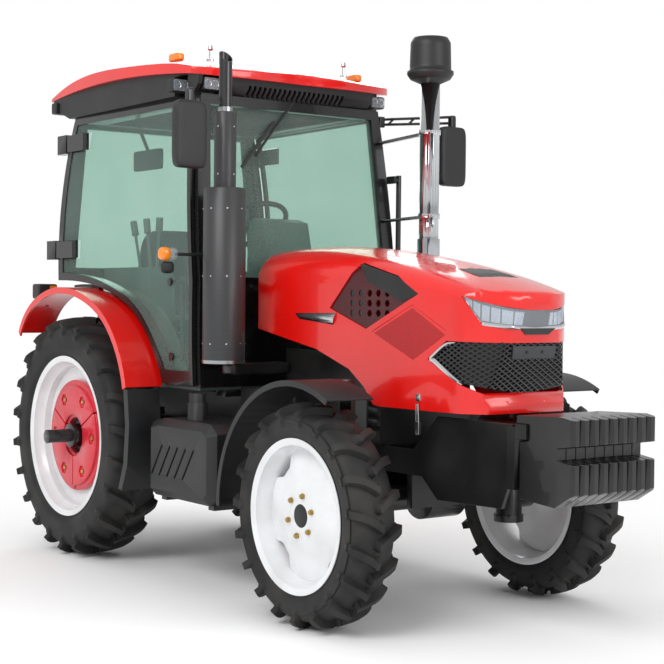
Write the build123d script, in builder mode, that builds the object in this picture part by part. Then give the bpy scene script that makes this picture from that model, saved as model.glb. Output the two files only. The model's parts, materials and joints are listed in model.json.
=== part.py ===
from build123d import *
from math import cos, radians, sin
import os

os.makedirs("parts", exist_ok=True)

# Farm tractor with cab, millimetres. +X forward, +Y to the tractor's left, +Z up,
# origin on the ground below the middle of the length.
half_length = 2135
rear_axle_x = -1150
wheelbase = 2180
front_axle_x = rear_axle_x + wheelbase
rear_hub_z = 645
front_hub_z = 480
rear_track = 1270
front_track = 1310
steer_y = 470


def ahead(distance):
    """Place so many millimetres ahead of the rear axle."""
    return rear_axle_x + distance


# Tyres and rims: radius to the lug tips, carcass, rim flange and bead seat
rear_wheel = dict(tip=645, crown=608, flange=431.5, seat=406, half_rim=132, half_width=146, lugs=22, lug=34)
front_wheel = dict(tip=480, crown=449, flange=330, seat=304.8, half_rim=105, half_width=113, lugs=19, lug=30)
rim_wall = 7
axle_bar_radius = 36
bar_end_y = 870

# Hood
hood_rear_x = ahead(1250)
hood_half_width = 330
hood_wall = 8
nose_x = ahead(2860)
hood_bottom_z = 930

# Cab
cab_half_width = 575
cab_wall = 45
floor_z = 960
glass_top_z = 2385
glass = 6
door_gap = 4
door_plane_y = cab_half_width + door_gap
roof_half_width = 620

# Fenders
fender_inner_y = 602
fender_outer_y = 812
fender_wall = 10

# Front weights
weight_pitch = 53
weight_thickness = 50
weight_count = 9


def write(node, label):
    node.label = label
    export_step(node, f"parts/{label}.step")


def along_y(outline, y_from, y_to):
    """Plate from a closed outline of (x, z) points, between two y planes."""
    with BuildPart() as plate:
        with BuildSketch(Plane.XZ.offset(-y_from)):
            with BuildLine():
                Polyline(*outline, close=True)
            make_face()
        extrude(amount=-(y_to - y_from))
    return plate.part


# Tyres, made with the wheel axis on Z and turned onto Y where they are placed
def make_tyre(w):
    with BuildPart() as lug:
        with BuildSketch(Plane.YZ.offset(w["crown"] - 25)):
            with BuildLine():
                Polyline((30, -10), (30 + w["lug"] * 1.2, -10),
                         (-62 + w["lug"] * 1.3, w["half_width"] + 8), (-62, w["half_width"] + 8), close=True)
            make_face()
        extrude(amount=90)
        with BuildSketch(Plane.XZ):
            with BuildLine():
                Polyline((w["crown"] - 22, -20), (w["tip"], -20), (w["tip"] - 2, w["half_width"] * 0.7),
                         (w["tip"] - 22, w["half_width"] + 2), (w["crown"] - 52, w["half_width"] - 6),
                         (w["crown"] - 40, w["half_width"] - 26), close=True)
            make_face()
        revolve(axis=Axis.Z, revolution_arc=360, mode=Mode.INTERSECT)
    bar = lug.part
    mirrored_bar = mirror(bar, about=Plane.XY)
    with BuildPart() as tyre:
        with BuildSketch(Plane.XZ):
            with BuildLine():
                half = [(w["seat"] + 1, w["half_rim"] - 34), (w["seat"] + 1, w["half_rim"] - 10),
                        (w["flange"] + 4, w["half_rim"] - 9), (w["flange"] + 32, w["half_width"] - 3),
                        (w["flange"] + 72, w["half_width"]), (w["crown"] - 48, w["half_width"] - 4),
                        (w["crown"] - 14, w["half_width"] - 20), (w["crown"], w["half_width"] * 0.5)]
                inside = [(w["crown"] - 24, w["half_width"] * 0.6), (w["flange"] + 60, w["half_width"] - 16)]
                Polyline(*half, *[(r, -z) for r, z in reversed(half)],
                         *[(r, -z) for r, z in reversed(inside)], *inside, close=True)
            make_face()
        revolve(axis=Axis.Z)
        pitch = 360 / w["lugs"]
        add([bar.rotate(Axis.Z, turn * pitch) for turn in range(w["lugs"])]
            + [mirrored_bar.rotate(Axis.Z, (turn + 0.5) * pitch) for turn in range(w["lugs"])])
    return tyre.part


def rim_profile(w, seat_drop):
    """Half section of the rim wall: flange, bead seat and drop centre."""
    edge = w["half_rim"]
    outer = [(w["flange"], edge), (w["flange"], edge - 5), (w["seat"], edge - 9), (w["seat"] - 1, edge - 36),
             (w["seat"] - seat_drop, edge - 58)]
    inner = [(w["seat"] - seat_drop - rim_wall, edge - 60), (w["seat"] - 8, edge - 36),
             (w["seat"] - 8, edge - 4), (w["flange"] - 8, edge)]
    return outer, inner


def make_rear_rim(w):
    outer, inner = rim_profile(w, 22)
    with BuildPart() as rim:
        with BuildSketch(Plane.XZ):
            with BuildLine():
                Polyline(*outer, *[(r, -z) for r, z in reversed(outer)],
                         *[(r, -z) for r, z in reversed(inner)], *inner, close=True)
            make_face()
        revolve(axis=Axis.Z)
        # disc with a raised hub seat, held to the drop centre
        with BuildSketch(Plane.XZ):
            with BuildLine():
                Polyline((66, 6), (66, -6), (150, -6), (200, 12), (300, 24), (378, 24), (378, 34), (298, 34),
                         (196, 22), (146, 6), close=True)
            make_face()
        revolve(axis=Axis.Z)
    return rim.part


def make_front_rim(w):
    outer, inner = rim_profile(w, 18)
    with BuildPart() as rim:
        with BuildSketch(Plane.XZ):
            with BuildLine():
                Polyline(*outer, *[(r, -z) for r, z in reversed(outer)],
                         *[(r, -z) for r, z in reversed(inner)], *inner, close=True)
            make_face()
        revolve(axis=Axis.Z)
        # dished disc, scalloped at the drop centre by four openings
        with BuildSketch(Plane.XZ):
            with BuildLine():
                Polyline((52, 66), (52, 58), (120, 58), (150, 46), (205, 32), (281, 20), (281, 28), (208, 40),
                         (154, 54), (122, 66), close=True)
            make_face()
        revolve(axis=Axis.Z)
        with BuildSketch(Plane.XY):
            with PolarLocations(296, 4, start_angle=45):
                Ellipse(34, 92)
        extrude(amount=60, mode=Mode.SUBTRACT)
        # hub cap and wheel flange
        with BuildSketch(Plane.XZ):
            with BuildLine():
                Polyline((0, 78), (44, 78), (50, 70), (50, 60), (105, 60), (105, 30), (60, 20), (60, -20),
                         (0, -20), close=True)
            make_face()
        revolve(axis=Axis.Z)
    return rim.part


def make_wheel_weights():
    """Cast ring of three segments with stepped faces."""
    with BuildPart() as ring:
        with BuildSketch(Plane.XY.offset(38)):
            Circle(300)
            Circle(96, mode=Mode.SUBTRACT)
        extrude(amount=26)
        with BuildSketch(Plane.XY.offset(64)):
            Circle(272)
            Circle(112, mode=Mode.SUBTRACT)
        extrude(amount=16)
        with BuildSketch(Plane.XY.offset(38)):
            with PolarLocations(200, 3, start_angle=90):
                Rectangle(240, 6)
        extrude(amount=60, mode=Mode.SUBTRACT)
        with BuildSketch(Plane.XY.offset(70)):
            with PolarLocations(215, 6, start_angle=0):
                RegularPolygon(34, 6)
        extrude(amount=20, mode=Mode.SUBTRACT)
    return ring.part


def make_axle_bar():
    """Bar axle end with its clamp hub."""
    with BuildPart() as bar:
        with BuildSketch(Plane.XY.offset(-60)):
            Circle(axle_bar_radius)
        extrude(amount=60 + bar_end_y - rear_track / 2)
        with BuildSketch(Plane.XY.offset(-30)):
            Circle(64)
        extrude(amount=130)
        with BuildSketch(Plane.XY.offset(30)):
            Rectangle(150, 60)
        extrude(amount=60)
    return bar.part


sides = (("left", 1), ("right", -1))


def place(shape, side, x, y, z):
    """Turn a wheel piece's own axis outward and set it on its side of the tractor."""
    piece = shape.moved(Location((x, y, z), (-90, 0, 0)))
    return piece if side > 0 else mirror(piece, about=Plane.XZ)


rear_tyre = make_tyre(rear_wheel)
front_tyre = make_tyre(front_wheel)
rear_rim = make_rear_rim(rear_wheel)
front_rim = make_front_rim(front_wheel)
wheel_weights = make_wheel_weights()
axle_bar = make_axle_bar()
for name, side in sides:
    rear_at = (rear_axle_x, rear_track / 2, rear_hub_z)
    front_at = (front_axle_x, front_track / 2, front_hub_z)
    write(place(rear_tyre, side, *rear_at), f"rear_tyre_{name}")
    write(place(rear_rim, side, *rear_at), f"rear_rim_{name}")
    write(place(wheel_weights, side, *rear_at), f"wheel_weight_{name}")
    write(place(axle_bar, side, *rear_at), f"axle_bar_{name}")
    write(place(front_tyre, side, *front_at), f"front_tyre_{name}")
    write(place(front_rim, side, *front_at), f"front_rim_{name}")

# Knuckles: kingpin housing with the wheel spindle, and the fender stay over the tyre
fender_arc = front_wheel["tip"] + 95
for name, side in sides:
    with BuildPart() as front_fender:
        y_plane = side * 548
        with BuildSketch(Plane.XZ.offset(-y_plane)):
            with BuildLine():
                arc = CenterArc((front_axle_x, front_hub_z), fender_arc, 62, 120)
                inner = CenterArc((front_axle_x, front_hub_z), fender_arc - 8, 62, 120)
                Line(arc @ 0, inner @ 0)
                Line(arc @ 1, inner @ 1)
            make_face()
        extrude(amount=-side * 240)
        with BuildSketch(Plane.XZ.offset(-y_plane - side * 232)):
            with BuildLine():
                arc = CenterArc((front_axle_x, front_hub_z), fender_arc, 62, 120)
                inner = CenterArc((front_axle_x, front_hub_z), fender_arc - 26, 62, 120)
                Line(arc @ 0, inner @ 0)
                Line(arc @ 1, inner @ 1)
            make_face()
        extrude(amount=-side * 8)
    write(front_fender.part, f"front_fender_{name}")

    with BuildPart() as knuckle:
        with BuildSketch(Plane.XY.offset(front_hub_z - 118)):
            with Locations((front_axle_x, side * steer_y)):
                Circle(70)
        extrude(amount=34)
        with BuildSketch(Plane.XY.offset(front_hub_z - 84)):
            with Locations((front_axle_x, side * steer_y)):
                Circle(62)
        extrude(amount=190)
        with BuildSketch(Plane.XZ.offset(-side * (steer_y + 10))):
            with Locations((front_axle_x, front_hub_z)):
                Circle(58)
        extrude(amount=-side * 110)
        # fender stay: upright behind the tyre's crown and its shelf
        with BuildSketch(Plane.XY.offset(front_hub_z + 106)):
            with Locations((front_axle_x, side * steer_y)):
                Circle(48)
        extrude(amount=40)
        with BuildSketch(Plane.XY.offset(front_hub_z + 130)):
            with Locations((front_axle_x - 20, side * (steer_y - 4))):
                Rectangle(80, 24)
        extrude(amount=fender_arc - 130 - 20)
        with BuildSketch(Plane.XY.offset(front_hub_z + fender_arc - 26)):
            with Locations((front_axle_x - 20, side * (steer_y + 40))):
                Rectangle(70, 110)
        extrude(amount=22)
        add(front_fender.part, mode=Mode.SUBTRACT)
    write(knuckle.part, f"knuckle_{name}")

# Front axle beam between the kingpins
with BuildPart() as front_axle:
    with BuildSketch(Plane.XZ.offset(-(steer_y - 66))):
        with Locations((front_axle_x, front_hub_z + 40)):
            Circle(56)
    extrude(amount=2 * (steer_y - 66))
    with BuildSketch(Plane.XZ.offset(-120)):
        with Locations((front_axle_x, front_hub_z + 40)):
            Circle(105)
    extrude(amount=200)
    with BuildSketch(Plane.YZ.offset(front_axle_x - 110)):
        with Locations((0, front_hub_z + 40)):
            Circle(42)
    extrude(amount=220)
write(front_axle.part, "front_axle")

# Engine as one block at its place, with sump
with BuildPart() as engine_block:
    add(along_y([(ahead(1300), 560), (ahead(1300), 1160), (ahead(1980), 1150), (ahead(1980), 620),
                 (ahead(1900), 500), (ahead(1420), 500)], -205, 205))
    add(along_y([(ahead(1340), 1160), (ahead(1340), 1290), (ahead(1900), 1270), (ahead(1900), 1150)],
                -150, 150))
    chamfer(engine_block.edges().filter_by(Axis.X), 14)
write(engine_block.part, "engine_block")

with BuildPart() as radiator:
    with Locations((ahead(2080), 0, 998)):
        Box(110, 520, 496)
    for side in (1, -1):
        with BuildSketch(Plane.XZ.offset(-side * 250)):
            with Locations((ahead(2080), 1003)):
                with GridLocations(1, 52, 1, 8):
                    Rectangle(84, 22)
        extrude(amount=-side * 20, mode=Mode.SUBTRACT)
write(radiator.part, "radiator")

# Gearbox housing from the engine to the rear axle, with the axle tubes and their drives
with BuildPart() as transmission:
    add(along_y([(ahead(-215), 520), (ahead(-215), 900), (ahead(1295), 900),
                 (ahead(1295), 480), (ahead(900), 520), (ahead(330), 470), (ahead(-120), 470)], -190, 190))
    with BuildSketch(Plane.XZ.offset(-440)):
        with Locations((rear_axle_x, rear_hub_z)):
            Circle(95)
    extrude(amount=880)
    for side in (1, -1):
        with BuildSketch(Plane.XZ.offset(-side * 330)):
            with Locations((rear_axle_x, rear_hub_z)):
                Circle(165)
        extrude(amount=-side * 60)
    # cab mount beams across the housing
    with Locations((ahead(930), 0, 922)):
        Box(90, 700, 44)
    with Locations((ahead(-130), 0, 974)):
        Box(90, 700, 148)
write(transmission.part, "transmission")

# Side plates from the clutch housing forward, with the carrier for the weights
plate_y = 236
with BuildPart() as front_frame:
    for side in (1, -1):
        y_from = side * plate_y - 9
        add(along_y([(ahead(1700), 640), (ahead(1700), 750), (ahead(2340), 750), (ahead(2500), 905),
                     (ahead(2960), 905), (ahead(2960), 700), (ahead(2900), 560), (ahead(2505), 550),
                     (ahead(2400), 640)], y_from, y_from + 18))
    with Locations((ahead(2700), 0, 860)):
        Box(260, 2 * plate_y, 60)
    # spacers against the engine, and the two cross plates that hold the axle's pivot
    with Locations((ahead(1720), 216, 690), (ahead(1720), -216, 690)):
        Box(60, 22, 80)
    for x in (2052, 2308):
        with Locations((ahead(x), 0, 585)):
            Box(36, 2 * plate_y, 190)
    with Locations((ahead(2960), 0, 770)):
        Box(44, 2 * plate_y + 36, 250)
    with BuildSketch(Plane.XZ.offset(-250)):
        with Locations((ahead(3010), 880)):
            Rectangle(64, 60)
    extrude(amount=500)
write(front_frame.part, "front_frame")

# Weights: plates with a hook over the carrier and two lobes with a recess between
with BuildPart() as weight:
    with BuildSketch(Plane.XZ.offset(weight_thickness / 2)):
        with BuildLine():
            Polyline((ahead(2974), 942), (ahead(3230), 950), (ahead(3285), 940), (ahead(3285), 842),
                     (ahead(3200), 828), (ahead(3200), 782), (ahead(3285), 770), (ahead(3285), 655),
                     (ahead(3190), 597), (ahead(2995), 612), (ahead(2995), 838), (ahead(3044), 846),
                     (ahead(3044), 910), (ahead(2974), 910), close=True)
        make_face()
    extrude(amount=-weight_thickness)
    chamfer(weight.edges().filter_by(Axis.Z).sort_by(Axis.X)[-4:], 14)
with BuildPart() as front_weights:
    for index in range(weight_count):
        add(weight.part.moved(Location((0, (index - (weight_count - 1) / 2) * weight_pitch, 0))))
    with BuildSketch(Plane.XZ.offset(-(weight_count * weight_pitch / 2 - 6))):
        with Locations((ahead(3120), 700)):
            Circle(16)
    extrude(amount=weight_count * weight_pitch - 12)
write(front_weights.part, "front_weights")

# Fuel tank on the right with its filler neck
with BuildPart() as fuel_tank:
    with BuildSketch(Plane.XZ.offset(420)):
        with BuildLine():
            Polyline((ahead(905), 450), (ahead(905), 790), (ahead(1010), 812), (ahead(1440), 812),
                     (ahead(1500), 770), (ahead(1500), 470), (ahead(1440), 430), (ahead(930), 430), close=True)
        make_face()
    extrude(amount=335)
    chamfer(fuel_tank.faces().sort_by(Axis.Y)[0].edges(), 36)
    fillet(fuel_tank.edges().filter_by(Axis.Y), 20)
    with BuildSketch(Plane.XY.offset(800)):
        with Locations((ahead(1190), -640)):
            Circle(48)
    extrude(amount=95)
    with BuildSketch(Plane.XY.offset(895)):
        with Locations((ahead(1190), -640)):
            Circle(41)
    extrude(amount=45)
    # slanted ribs pressed into the outer side
    with BuildSketch(Plane.XZ.offset(755)):
        with Locations((ahead(1150), 610)):
            with GridLocations(74, 0, 5, 1):
                SlotCenterToCenter(170, 14, rotation=55)
    extrude(amount=-7, mode=Mode.SUBTRACT)
write(fuel_tank.part, "fuel_tank")

# Steps and carriers under the cab: tank cradle and side bracket on the right,
# battery box with two treads on the left, skirts in front of the rear wheels
skirt_x = ahead(770)
with BuildPart() as side_steps:
    for side in (1, -1):
        for x, housing_y in ((ahead(980), 190), (ahead(1420), 205)):
            with Locations((x, side * 445, 419)):
                Box(50, 510, 22)
            with Locations((x, side * (housing_y + 415) / 2, 490)):
                Box(50, 415 - housing_y, 130)
    with Locations((ahead(1330), -(395), 880)):
        Box(260, 14, 170)
    with Locations((ahead(1330), -303.5, 802)):
        Box(200, 197, 14)
    with Locations((ahead(1180), 480, 592)):
        Box(520, 240, 330)
    # two treads between cheek plates
    for z, reach in ((440, 740), (680, 720)):
        with Locations((ahead(1180), (598 + reach) / 2, z)):
            Box(420, reach - 598, 26)
    for x in (ahead(970), ahead(1390)):
        with Locations((x, 665, 560)):
            Box(12, 134, 270)
write(side_steps.part, "side_steps")

with BuildPart() as fender_skirts:
    for side in (1, -1):
        with BuildSketch(Plane.XZ.offset(-side * 622)):
            with BuildLine():
                Polyline((skirt_x, 938), (skirt_x + 12, 938), (skirt_x + 34, 760), (skirt_x + 16, 560),
                         (skirt_x - 40, 430), (skirt_x - 52, 430), (skirt_x + 4, 566), (skirt_x + 22, 760), close=True)
            make_face()
        extrude(amount=-side * 180)
        with BuildSketch(Plane.XZ.offset(-side * 790)):
            with BuildLine():
                Polyline((skirt_x - 30, 938), (skirt_x + 4, 938), (skirt_x + 26, 760), (skirt_x + 8, 566),
                         (skirt_x - 46, 436), (skirt_x - 76, 436), (skirt_x - 26, 566), (skirt_x - 8, 760), close=True)
            make_face()
        extrude(amount=-side * 12)
        with Locations((skirt_x + 50, side * 406, 710)):
            Box(60, 432, 50)
write(fender_skirts.part, "fender_skirts")

# Red fender arches over the rear wheels
arch_points = [(780, 950), (705, 1130), (560, 1290), (320, 1405), (40, 1448), (-220, 1408), (-420, 1300),
               (-500, 1195)]


def arch_band(lower_by_from, lower_by_to, first=0):
    """Face between two curves that follow the fender's arch, lowered toward the hub."""
    curves = []
    for drop in (lower_by_from, lower_by_to):
        k = [1 - drop / 800] * len(arch_points)
        points = [(ahead(x * f), rear_hub_z + (z - rear_hub_z) * f) for (x, z), f in zip(arch_points, k)]
        curves.append(points[first:])
    with BuildLine() as band:
        upper = Spline(*curves[0])
        lower = Spline(*curves[1])
        Line(upper @ 0, lower @ 0)
        Line(upper @ 1, lower @ 1)
    return band.line


with BuildPart() as rear_fenders:
    for side in (1, -1):
        # crown of the arch
        with BuildSketch(Plane.XZ.offset(-side * fender_inner_y)):
            with BuildLine():
                add(arch_band(0, fender_wall))
            make_face()
        extrude(amount=-side * (fender_outer_y - fender_inner_y))
        # rolled lip on the outer edge
        with BuildSketch(Plane.XZ.offset(-side * (fender_outer_y - 12))):
            with BuildLine():
                add(arch_band(0, 34))
            make_face()
        extrude(amount=-side * 12)
write(rear_fenders.part, "rear_fenders")

# Cab: side outline of the body above the floor, with the sill rising over the rear wheel.
# The sides bow outward at the waist and close in toward the windscreen.
waist_z = 1480
head_z = 2400
cab_front_x = ahead(1120)
cab_rear_x = ahead(-275)
screen_lean = 92
post = 48


def sill_points(rise, rear_x=cab_rear_x):
    """Lower edge over the rear wheel, a little above the fender's crown."""
    front = [(ahead(x * (1 + rise / 800)), rear_hub_z + (z - rear_hub_z) * (1 + rise / 800))
             for x, z in arch_points[:4]]
    return front + [(ahead(60), 1462 + rise), (rear_x, 1480 + rise)]


def side_outline(front_inset, top_inset, rear_inset, bottom_z, rise):
    """Closed side outline: windscreen edge, head, rear post and the sill's curve."""
    with BuildLine() as outline:
        sill = Spline(*[(x, max(z, bottom_z)) for x, z in sill_points(rise, cab_rear_x + rear_inset)])
        Polyline(sill @ 0, (cab_front_x - front_inset, bottom_z), (cab_front_x + 20 - front_inset, waist_z),
                 (cab_front_x + 20 - screen_lean - front_inset, head_z - top_inset),
                 (cab_rear_x + rear_inset, head_z - top_inset), sill @ 1)
    return outline.line


def side_plate(outline, y_from, y_to):
    """Plate from a closed line, between two y planes."""
    with BuildPart() as plate:
        with BuildSketch(Plane.XZ.offset(-y_from)):
            with BuildLine():
                add(outline)
            make_face()
        extrude(amount=-(y_to - y_from))
    return plate.part


def cab_form(outward):
    """Bowed width of the cab, from the windscreen to the rear, grown outward by a distance."""
    with BuildPart() as form:
        for x, foot_y, waist_y, head_y in ((ahead(1200), 576, 598, 536), (ahead(-400), 602, 680, 560)):
            with BuildSketch(Plane.YZ.offset(x)):
                with BuildLine():
                    left = ThreePointArc((foot_y + outward, 880), (waist_y + outward, 1480), (head_y + outward, 2460))
                    right = ThreePointArc((-foot_y - outward, 880), (-waist_y - outward, 1480), (-head_y - outward, 2460))
                    Line(left @ 0, right @ 0)
                    Line(left @ 1, right @ 1)
                make_face()
        loft()
    return form.part


body_form = cab_form(0)
inner_form = cab_form(-cab_wall)
with BuildPart() as cab_frame:
    add(side_plate(side_outline(0, 0, 0, floor_z, 8), -760, 760))
    add(body_form, mode=Mode.INTERSECT)
    # hollow inside, open below
    add(side_plate(side_outline(44, 40, 44, floor_z - 60, -70), -760, 760) & inner_form, mode=Mode.SUBTRACT)
    # door openings on both sides
    add(side_plate(side_outline(50, 44, 60, floor_z + 36, 46), -800, 800), mode=Mode.SUBTRACT)
    # windscreen opening and the two low windows beside the hood
    with BuildSketch(Plane.YZ.offset(ahead(1000))):
        Polygon((-540, 1500), (540, 1500), (498, 2350), (-498, 2350), align=None)
        for side in (1, -1):
            Polygon((side * 380, 1090), (side * 540, 1090), (side * 548, 1450), (side * 380, 1450), align=None)
    extrude(amount=300, mode=Mode.SUBTRACT)
    # rear window opening
    with BuildSketch(Plane.YZ.offset(ahead(-500))):
        Polygon((-590, 1560), (590, 1560), (520, 2340), (-520, 2340), align=None)
    extrude(amount=300, mode=Mode.SUBTRACT)
    # roof plate opening under the cap
    with Locations((ahead(400), 0, 2390)):
        Box(1080, 900, 120, mode=Mode.SUBTRACT)
    # pads on the fenders, and brackets that carry the hood's hinge
    for side in (1, -1):
        with Locations((ahead(120), side * 630, 1467)):
            Box(80, 28, 50)
        bracket = [(ahead(1110), 1380), (ahead(1110), 1440), (ahead(1256), 1588), (ahead(1266), 1600),
                   (ahead(1292), 1600), (ahead(1292), 1572), (ahead(1190), 1470), (ahead(1170), 1380)]
        add(along_y(bracket, side * 180 - 6, side * 180 + 6))
        with Locations((ahead(1275), side * 180, 1600)):
            Cylinder(6, 28, rotation=(90, 0, 0))
    add(rear_fenders.part, mode=Mode.SUBTRACT)
    # hinge covers on the rear posts
    for side in (1, -1):
        for z in (1655, 2245):
            with BuildSketch(Plane.XY.offset(z - 52)):
                y_in = side * (614 if z > 2000 else 676)
                Polygon((ahead(-365), y_in - side * 20), (ahead(-243), y_in - side * 20), (ahead(-243), y_in + side * 34),
                        (ahead(-350), y_in + side * 34), (ahead(-365), y_in + side * 20), align=None)
            extrude(amount=104)
write(cab_frame.part, "cab_frame")

# Floor, with the wheel houses rising on both sides behind the door
house_inner_y = 452
floor_rear_x = ahead(-222)
with BuildPart() as cab_floor:
    riser_x = ahead(-60)
    riser_z = 1060
    with Locations(((ahead(1070) + riser_x) / 2, 0, floor_z - 8)):
        Box(ahead(1070) - riser_x, 2 * house_inner_y, 16)
    with Locations((ahead(945), 0, floor_z - 8)):
        Box(300, 1140, 16)
    with Locations((riser_x + 6, 0, (riser_z + floor_z - 20) / 2)):
        Box(12, 2 * house_inner_y, riser_z - floor_z + 20)
    with Locations(((riser_x + floor_rear_x) / 2, 0, riser_z - 6)):
        Box(riser_x - floor_rear_x, 2 * house_inner_y, 12)
    for side in (1, -1):
        with BuildSketch(Plane.XZ.offset(-side * house_inner_y)):
            with BuildLine():
                upper = Spline(*sill_points(-4)[:-1], (floor_rear_x, 1462))
                lower = Spline(*sill_points(-20)[:-1], (floor_rear_x, 1450))
                Line(upper @ 0, lower @ 0)
                Line(upper @ 1, lower @ 1)
            make_face()
        extrude(amount=-side * (fender_inner_y - house_inner_y))
        with BuildSketch(Plane.XZ.offset(-side * (house_inner_y - 12))):
            with BuildLine():
                upper = Spline(*sill_points(-4)[:-1], (floor_rear_x, 1462))
                Polyline(upper @ 1, (floor_rear_x, riser_z - 12), (riser_x, riser_z - 12), (riser_x, floor_z - 20),
                         (ahead(600), floor_z - 20), upper @ 0)
            make_face()
        extrude(amount=-side * 12)
    # rear wall below the window
    with Locations((floor_rear_x - 6, 0, (1462 + riser_z - 12) / 2)):
        Box(12, 2 * house_inner_y, 1462 - riser_z + 12)
write(cab_floor.part, "cab_floor")


def screen_x(z):
    """Outer face of the front frame at a height above the waist."""
    return cab_front_x + 20 - screen_lean * (z - waist_z) / (head_z - waist_z)


# Fixed glass: windscreen and the two low windows beside the hood
with BuildPart() as fixed_glass:
    with BuildSketch(Plane.YZ.offset(ahead(900))):
        Polygon((-540, 1500), (540, 1500), (498, 2350), (-498, 2350), align=None)
        for side in (1, -1):
            Polygon((side * 380, 1090), (side * 540, 1090), (side * 548, 1450), (side * 380, 1450), align=None)
    extrude(amount=400)
    add(along_y([(screen_x(1480) - 26, 1480), (screen_x(2400) - 26, 2400), (screen_x(2400) - 20, 2400),
                 (screen_x(1480) - 20, 1480), (cab_front_x - 20, 960), (cab_front_x - 26, 960)], -700, 700),
        mode=Mode.INTERSECT)
write(fixed_glass.part, "fixed_glass")

# Doors: a rear-hinged bowed pane with a slim frame, a grab tube and a latch
leaf_outer = cab_form(door_gap + 20)
leaf_inner = cab_form(door_gap)
pane_outer = cab_form(door_gap + 13)
pane_inner = cab_form(door_gap + 7)
door_rear_inset = 66
tube_x = ahead(905)
for name, side in sides:
    span = sorted((side * 480, side * 800))
    grab_y = side * 560
    with BuildPart() as door:
        add(side_plate(side_outline(30, 24, door_rear_inset, floor_z + 8, 22), *span))
        add(leaf_outer, mode=Mode.INTERSECT)
        add(leaf_inner, mode=Mode.SUBTRACT)
        add(side_plate(side_outline(58, 52, door_rear_inset + 28, floor_z + 76, 50), *span), mode=Mode.SUBTRACT)
        # inner grab tube on two stand-offs, latch plate and the rear hinge straps
        with Locations((tube_x, grab_y, 1290)):
            Cylinder(13, 420)
        for z, cap_y in ((1105, 618.8), (1475, 631.8)):
            with BuildSketch(Plane.XZ.offset(-grab_y)):
                with Locations((tube_x, z)):
                    Circle(10)
            extrude(amount=-side * (cap_y + 8 - 560))
            with BuildSketch(Plane.XZ.offset(-side * cap_y)):
                with Locations((tube_x, z)):
                    Circle(20)
            extrude(amount=-side * 8)
        for z in (1655, 2245):
            y_in = side * (614 if z > 2000 else 676)
            with BuildSketch(Plane.XY.offset(z - 46)):
                Polygon((ahead(-232), y_in + side * 4), (ahead(-232), y_in + side * 32), (ahead(-40), y_in + side * 30),
                        (ahead(-20), y_in + side * 18), (ahead(-20), y_in + side * 4), align=None)
            extrude(amount=92)
    write(door.part, f"door_{name}")
    with BuildPart() as door_glass:
        add(side_plate(side_outline(59, 53, door_rear_inset + 29, floor_z + 77, 51), *span))
        add(pane_outer, mode=Mode.INTERSECT)
        add(pane_inner, mode=Mode.SUBTRACT)
        for z in (1105, 1475):
            with Locations((tube_x, side * 600, z)):
                Cylinder(12, 200, rotation=(90, 0, 0), mode=Mode.SUBTRACT)
        for z in (1655, 2245):
            with Locations((ahead(-120), side * 640, z)):
                Box(240, 200, 100, mode=Mode.SUBTRACT)
    write(door_glass.part, f"door_glass_{name}")

# Rear window, hinged at its top edge
with BuildPart() as rear_window:
    with BuildSketch(Plane.YZ.offset(cab_rear_x - 12)):
        Polygon((-604, 1530), (604, 1530), (534, 2366), (-534, 2366), align=None)
    extrude(amount=6)
    with Locations((cab_rear_x - 20, 0, 1580)):
        Box(20, 140, 26)
write(rear_window.part, "rear_window")

# Roof: red cap over a dark soffit
roof_front_x = ahead(1140)
roof_rear_x = ahead(-612)
roof_crown = [(-660, 2538), (-330, 2612), (200, 2637), (660, 2609), (900, 2584), (1160, 2520)]
with BuildPart() as roof_cap:
    # cambered sections lofted from the rear to the front
    for x, crown_z in roof_crown:
        with BuildSketch(Plane.YZ.offset(ahead(x))):
            with BuildLine():
                camber = ThreePointArc((-640, crown_z - 32), (0, crown_z), (640, crown_z - 32))
                Polyline(camber @ 1, (640, 2380), (-640, 2380), camber @ 0)
            make_face()
    loft()
    # hollow curve of the underside
    with BuildSketch(Plane.XZ.offset(700)):
        with BuildLine():
            under = Spline((roof_front_x, 2478), (ahead(600), 2530), (ahead(0), 2545), (roof_rear_x, 2515))
            Polyline(under @ 1, (roof_rear_x - 100, 2515), (roof_rear_x - 100, 2300), (roof_front_x + 60, 2300),
                     (roof_front_x + 60, 2478), under @ 0)
        make_face()
    extrude(amount=-1400, mode=Mode.SUBTRACT)
    with BuildSketch(Plane.XY.offset(2400)):
        with BuildLine():
            side_a = Spline((roof_rear_x + 40, -roof_half_width + 40), (ahead(250), -roof_half_width),
                            (roof_front_x - 90, -roof_half_width + 14))
            side_b = Spline((roof_rear_x + 40, roof_half_width - 40), (ahead(250), roof_half_width),
                            (roof_front_x - 90, roof_half_width - 14))
            front = Spline(side_a @ 1, (roof_front_x - 4, -430), (roof_front_x, 0), (roof_front_x - 4, 430), side_b @ 1)
            rear = Spline(side_a @ 0, (roof_rear_x, 0), side_b @ 0)
        make_face()
    extrude(amount=400, mode=Mode.INTERSECT)
write(roof_cap.part, "roof_cap")

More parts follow.
